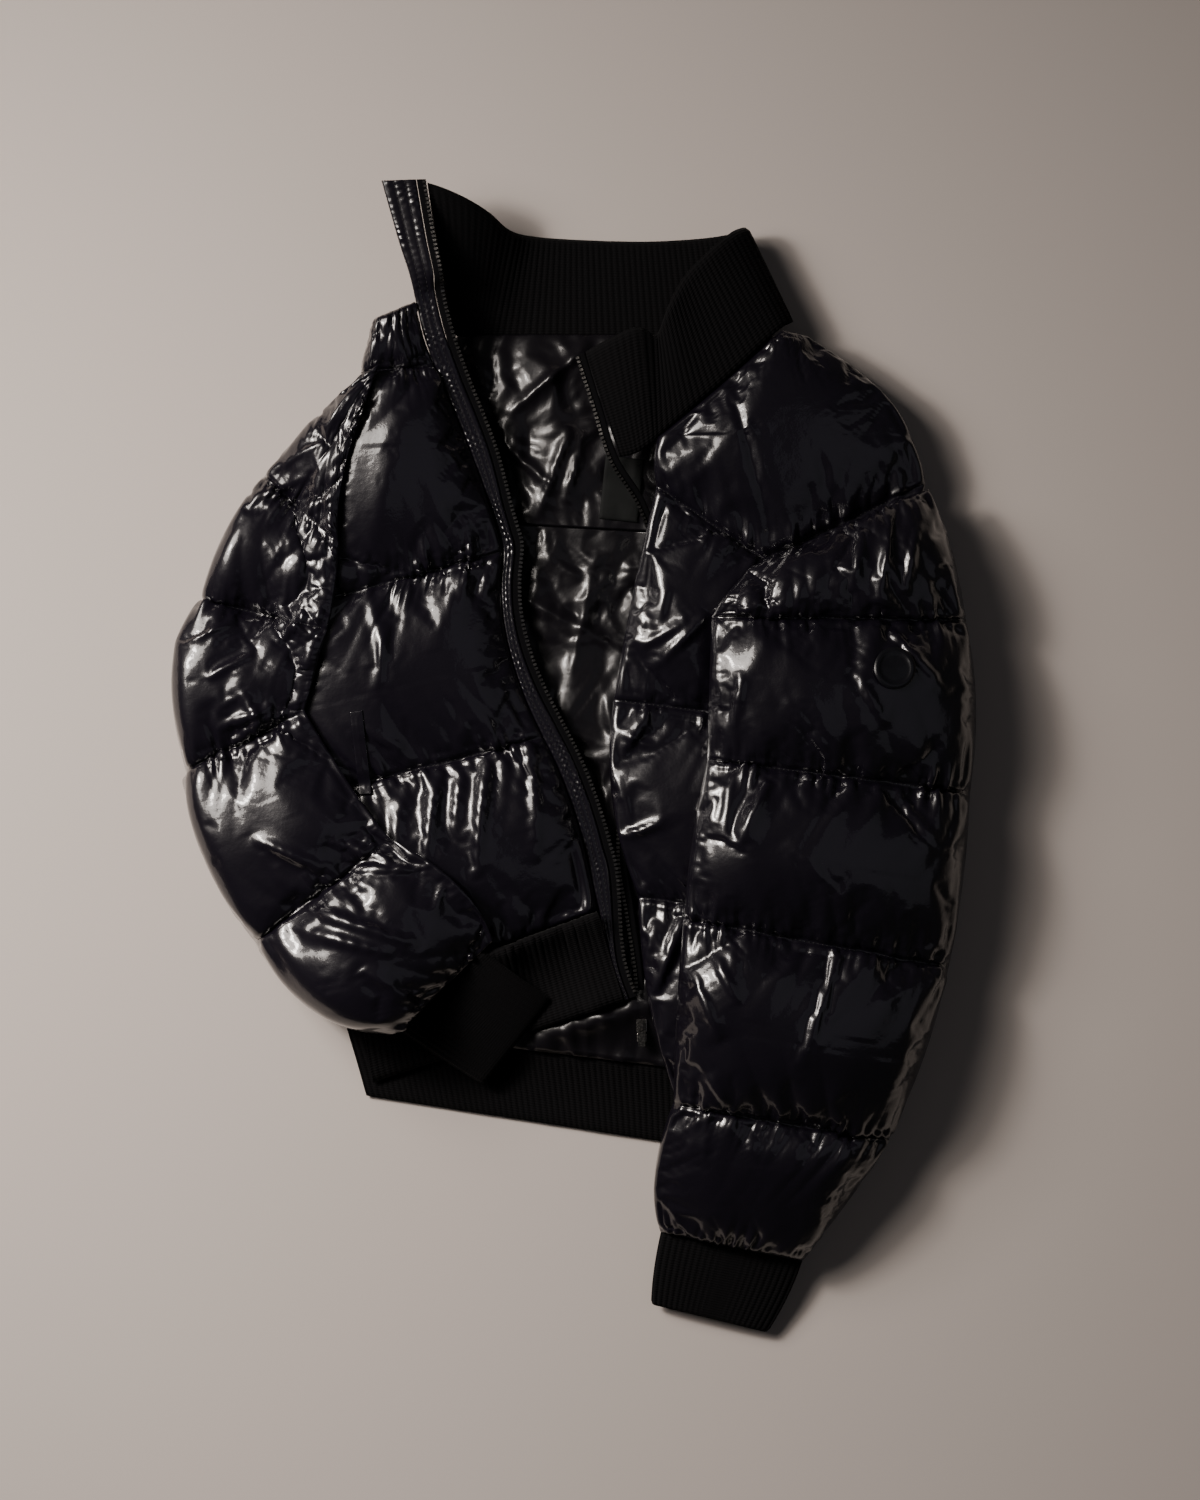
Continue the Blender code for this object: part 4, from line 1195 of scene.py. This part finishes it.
SLEEVE_LEFT = [
    Section("seam", 137, 137, 50, 256, 192, 30, 16),
    Section("full", 113, 118, 64, 272, 150, 38, 44),
    Section("seam", 99, 99, 62, 283, 97, 36, 30),
    Section("full", 97, 47, 68, 290, 36, 38, 54),
    Section("seam", 96, -3, 64, 286, -27, 34, 34),
    Section("full", 85, -60, 68, 281, -90, 36, 56),
    Section("seam", 79, -116, 62, 271, -152, 32, 34),
    Section("full", 74, -182, 60, 254, -214, 34, 56),
    Section("seam", 72, -249, 48, 229, -276, 24, 30),
    Section("full", 59, -301, 30, 208, -309, 26, 46),
    Section("seam", 63, -345, 18, 167, -366, 16, 16),
]
SLEEVE_LEFT_FOLDS = [
    Fold(117, -66, 139, -18, 8, 8),
    Fold(106, -60, 112, -20, 5, 5),
    Fold(228, 176, 218, 110, 5, 6),
    Fold(247, 165, 237, 116, 4, 5),
    Fold(267, 158, 277, 96, 5, 6),
    Fold(206, 160, 198, 116, 5, 4),
    Fold(106, 97, 136, 109, 4, 5),
    Fold(96, 84, 104, 32, 5, 5),
    Fold(120, 60, 114, 20, 5, 5),
    Fold(225, 92, 266, 42, 6, 6),
    Fold(200, 60, 222, 20, 6, 4),
    Fold(84, -150, 105, -202, 8, 8),
    Fold(100, -140, 118, -176, 5, 5),
    Fold(96, -225, 112, -250, 5, 4),
    Fold(150, 40, 190, -10, 8, 3),
    Fold(150, -60, 200, -110, 9, 3),
    Fold(230, -20, 262, -70, 7, 4),
    Fold(190, -140, 160, -220, 9, 3),
]
CUFF_LEFT = [
    Section("seam", 63, -345.4, 18, 167, -366.4, 16, 14),
    Section("full", 58, -373, 14, 157, -392, 13, 11),
    Section("seam", 56, -399, 8, 142, -420, 8, 9),
]
quilted("sleeve_left_quilted", "sleeve_left", SLEEVE_LEFT, 47.0, SLEEVE_LEFT_FOLDS, lift=(0.0, 8.0))
knit_cuff("cuff_left_knit", "cuff_left", CUFF_LEFT, around=215.0)

# ---------------------------------------------------------------------------------------------------------
# The blank badge on the left sleeve. A disc moulded from silicone rubber with a raised rim, glued to the
# cloth.

SLEEVE_PATCH = dict(middle=(228.0, 62.0), radius=15.0, thick=1.6)
BADGE_SIDES, BADGE_GLUE = 64, 0.3
# Radius and height as shares: the turned profile of the disc.
BADGE_PROFILE = [
    (0.02, 0.6),
    (0.55, 0.6),
    (0.72, 0.6),
    (0.76, 0.95),
    (0.8, 1.0),
    (0.86, 1.0),
    (0.9, 0.95),
    (0.93, 0.7),
    (0.98, 0.55),
    (1.0, 0.3),
    (1.0, 0.0),
]

# Silicone rubber: as dark as the cloth but satin, with a moulded grain of 0.7 mm, so only its rim glints.
rubber, rubber_tree, rubber_shader = new_material(
    "moulded silicone rubber", {"Base Color": linear("#101014"), "Roughness": 0.32, "IOR": 1.43}
)
rubber_where = add(rubber_tree, "ShaderNodeTexCoord").outputs["Object"]
rubber_grain = add(
    rubber_tree, "ShaderNodeTexNoise", {"Scale": 1 / (0.6667 * mm), "Detail": 2.0}, Vector=rubber_where
)
rubber_bump = add(
    rubber_tree, "ShaderNodeBump", {"Strength": 0.2, "Distance": 0.1 * mm}, Height=rubber_grain.outputs["Fac"]
)
rubber_tree.links.new(rubber_bump.outputs["Normal"], rubber_shader.inputs["Normal"])

badge_points, badge_faces = [], []
for share, height in BADGE_PROFILE:
    for k in range(BADGE_SIDES):
        angle = 2 * math.pi * k / BADGE_SIDES
        radius = SLEEVE_PATCH["radius"] * share
        badge_x = SLEEVE_PATCH["middle"][0] + radius * math.cos(angle)
        badge_y = SLEEVE_PATCH["middle"][1] + radius * math.sin(angle)
        badge_points.append((badge_x, badge_y, height * SLEEVE_PATCH["thick"]))
badge_points = np.array(badge_points)
badge_points[:, 2] += pile.under(badge_points[:, 0], badge_points[:, 1], reach=3.0) + BADGE_GLUE
last_ring = (len(BADGE_PROFILE) - 1) * BADGE_SIDES
for ring in range(0, last_ring, BADGE_SIDES):
    for k in range(BADGE_SIDES):
        a, b = ring + k, ring + (k + 1) % BADGE_SIDES
        badge_faces.append((a, a + BADGE_SIDES, b + BADGE_SIDES, b))
badge_faces.append(tuple(range(BADGE_SIDES)))
badge_faces.append(tuple(reversed(range(last_ring, last_ring + BADGE_SIDES))))
badge = mesh_object("sleeve_badge_blank", badge_points, badge_faces, rubber)
belongs(badge, "sleeve_patch_left")

# ---------------------------------------------------------------------------------------------------------
# The collar. A tall stand of doubled 2x2 rib, ribs upright. Its right side stands up beside the placket,
# its middle lies back on the surface, and its left side turns over on itself towards the zip.

# The foot and the top edge, from the right end to the left.
COLLAR = [
    (-88, 305, 30, -104, 409, 67),
    (-84, 304, 22, -91, 405, 64),
    (-78, 304, 18, -76, 399, 57),
    (-71, 304, 14, -61, 391, 45),
    (-60, 304, 12, -46, 380, 28),
    (-36, 304.3, 10, -28, 377, 14),
    (10, 304.3, 9, 8, 375, 9),
    (60, 304.3, 9, 54, 374, 9),
    (104, 304.6, 9, 92, 376, 10),
    (138, 309, 13, 114, 379, 13),
    (157, 313, 26, 124, 382, 26),
    (150.5, 308.5, 39, 114, 377, 40),
    (135, 295, 44, 98, 363, 50),
    (110, 271.5, 45, 80, 344, 54),
    (85, 250.5, 45, 68, 322, 57),
    (64, 232.5, 45, 60, 303, 51),
    (55, 224, 46, 46, 307, 57),
    (44, 217, 46, 28, 300, 56),
    (33.5, 214.6, 46.5, 9, 290, 51),
]
COLLAR_ROWS = 22  # from the foot to the folded top edge
stations = smooth_line(COLLAR, RIB_STEP)
up = np.linspace(0, 1, COLLAR_ROWS)[:, None, None]
collar_middle = stations[None, :, :3] * (1 - up) + stations[None, :, 3:] * up
# The stations are turned round, so that its faces look out.
collar = knit_band("collar_knit", collar_middle[:, ::-1])
belongs(collar, "collar")

# ---------------------------------------------------------------------------------------------------------
# The blank label inside the back of the neck. A loom-woven satin ribbon with turned ends, sewn flat to
# the yoke.

LABEL = dict(middle=(35.0, 193.0), wide=28.0, long=46.0, thick=1.2, slant=-6.0)

# Woven satin ribbon: long floats of yarn, 0.5 mm apart, give it a faint even sheen beside the shiny
# lining. They are drawn 1 mm apart, because they wouldn't show.
satin, satin_tree, satin_shader = new_material(
    "woven satin ribbon",
    {"Base Color": linear("#0e1010"), "Roughness": 0.75, "IOR": 1.55, "Specular IOR Level": 0.15},
)
satin_where = add(satin_tree, "ShaderNodeTexCoord").outputs["Object"]
satin_yarns = add(
    satin_tree,
    "ShaderNodeTexWave",
    {"bands_direction": "DIAGONAL", "Scale": 1 / (1.047 * mm * DIAGONAL_BANDS)},
    Vector=satin_where,
)
satin_bump = add(
    satin_tree, "ShaderNodeBump", {"Strength": 0.3, "Distance": 0.1 * mm}, Height=satin_yarns.outputs["Fac"]
)
satin_tree.links.new(satin_bump.outputs["Normal"], satin_shader.inputs["Normal"])
label = laid_patch("neck_label_blank", "inner_label", LABEL, satin)
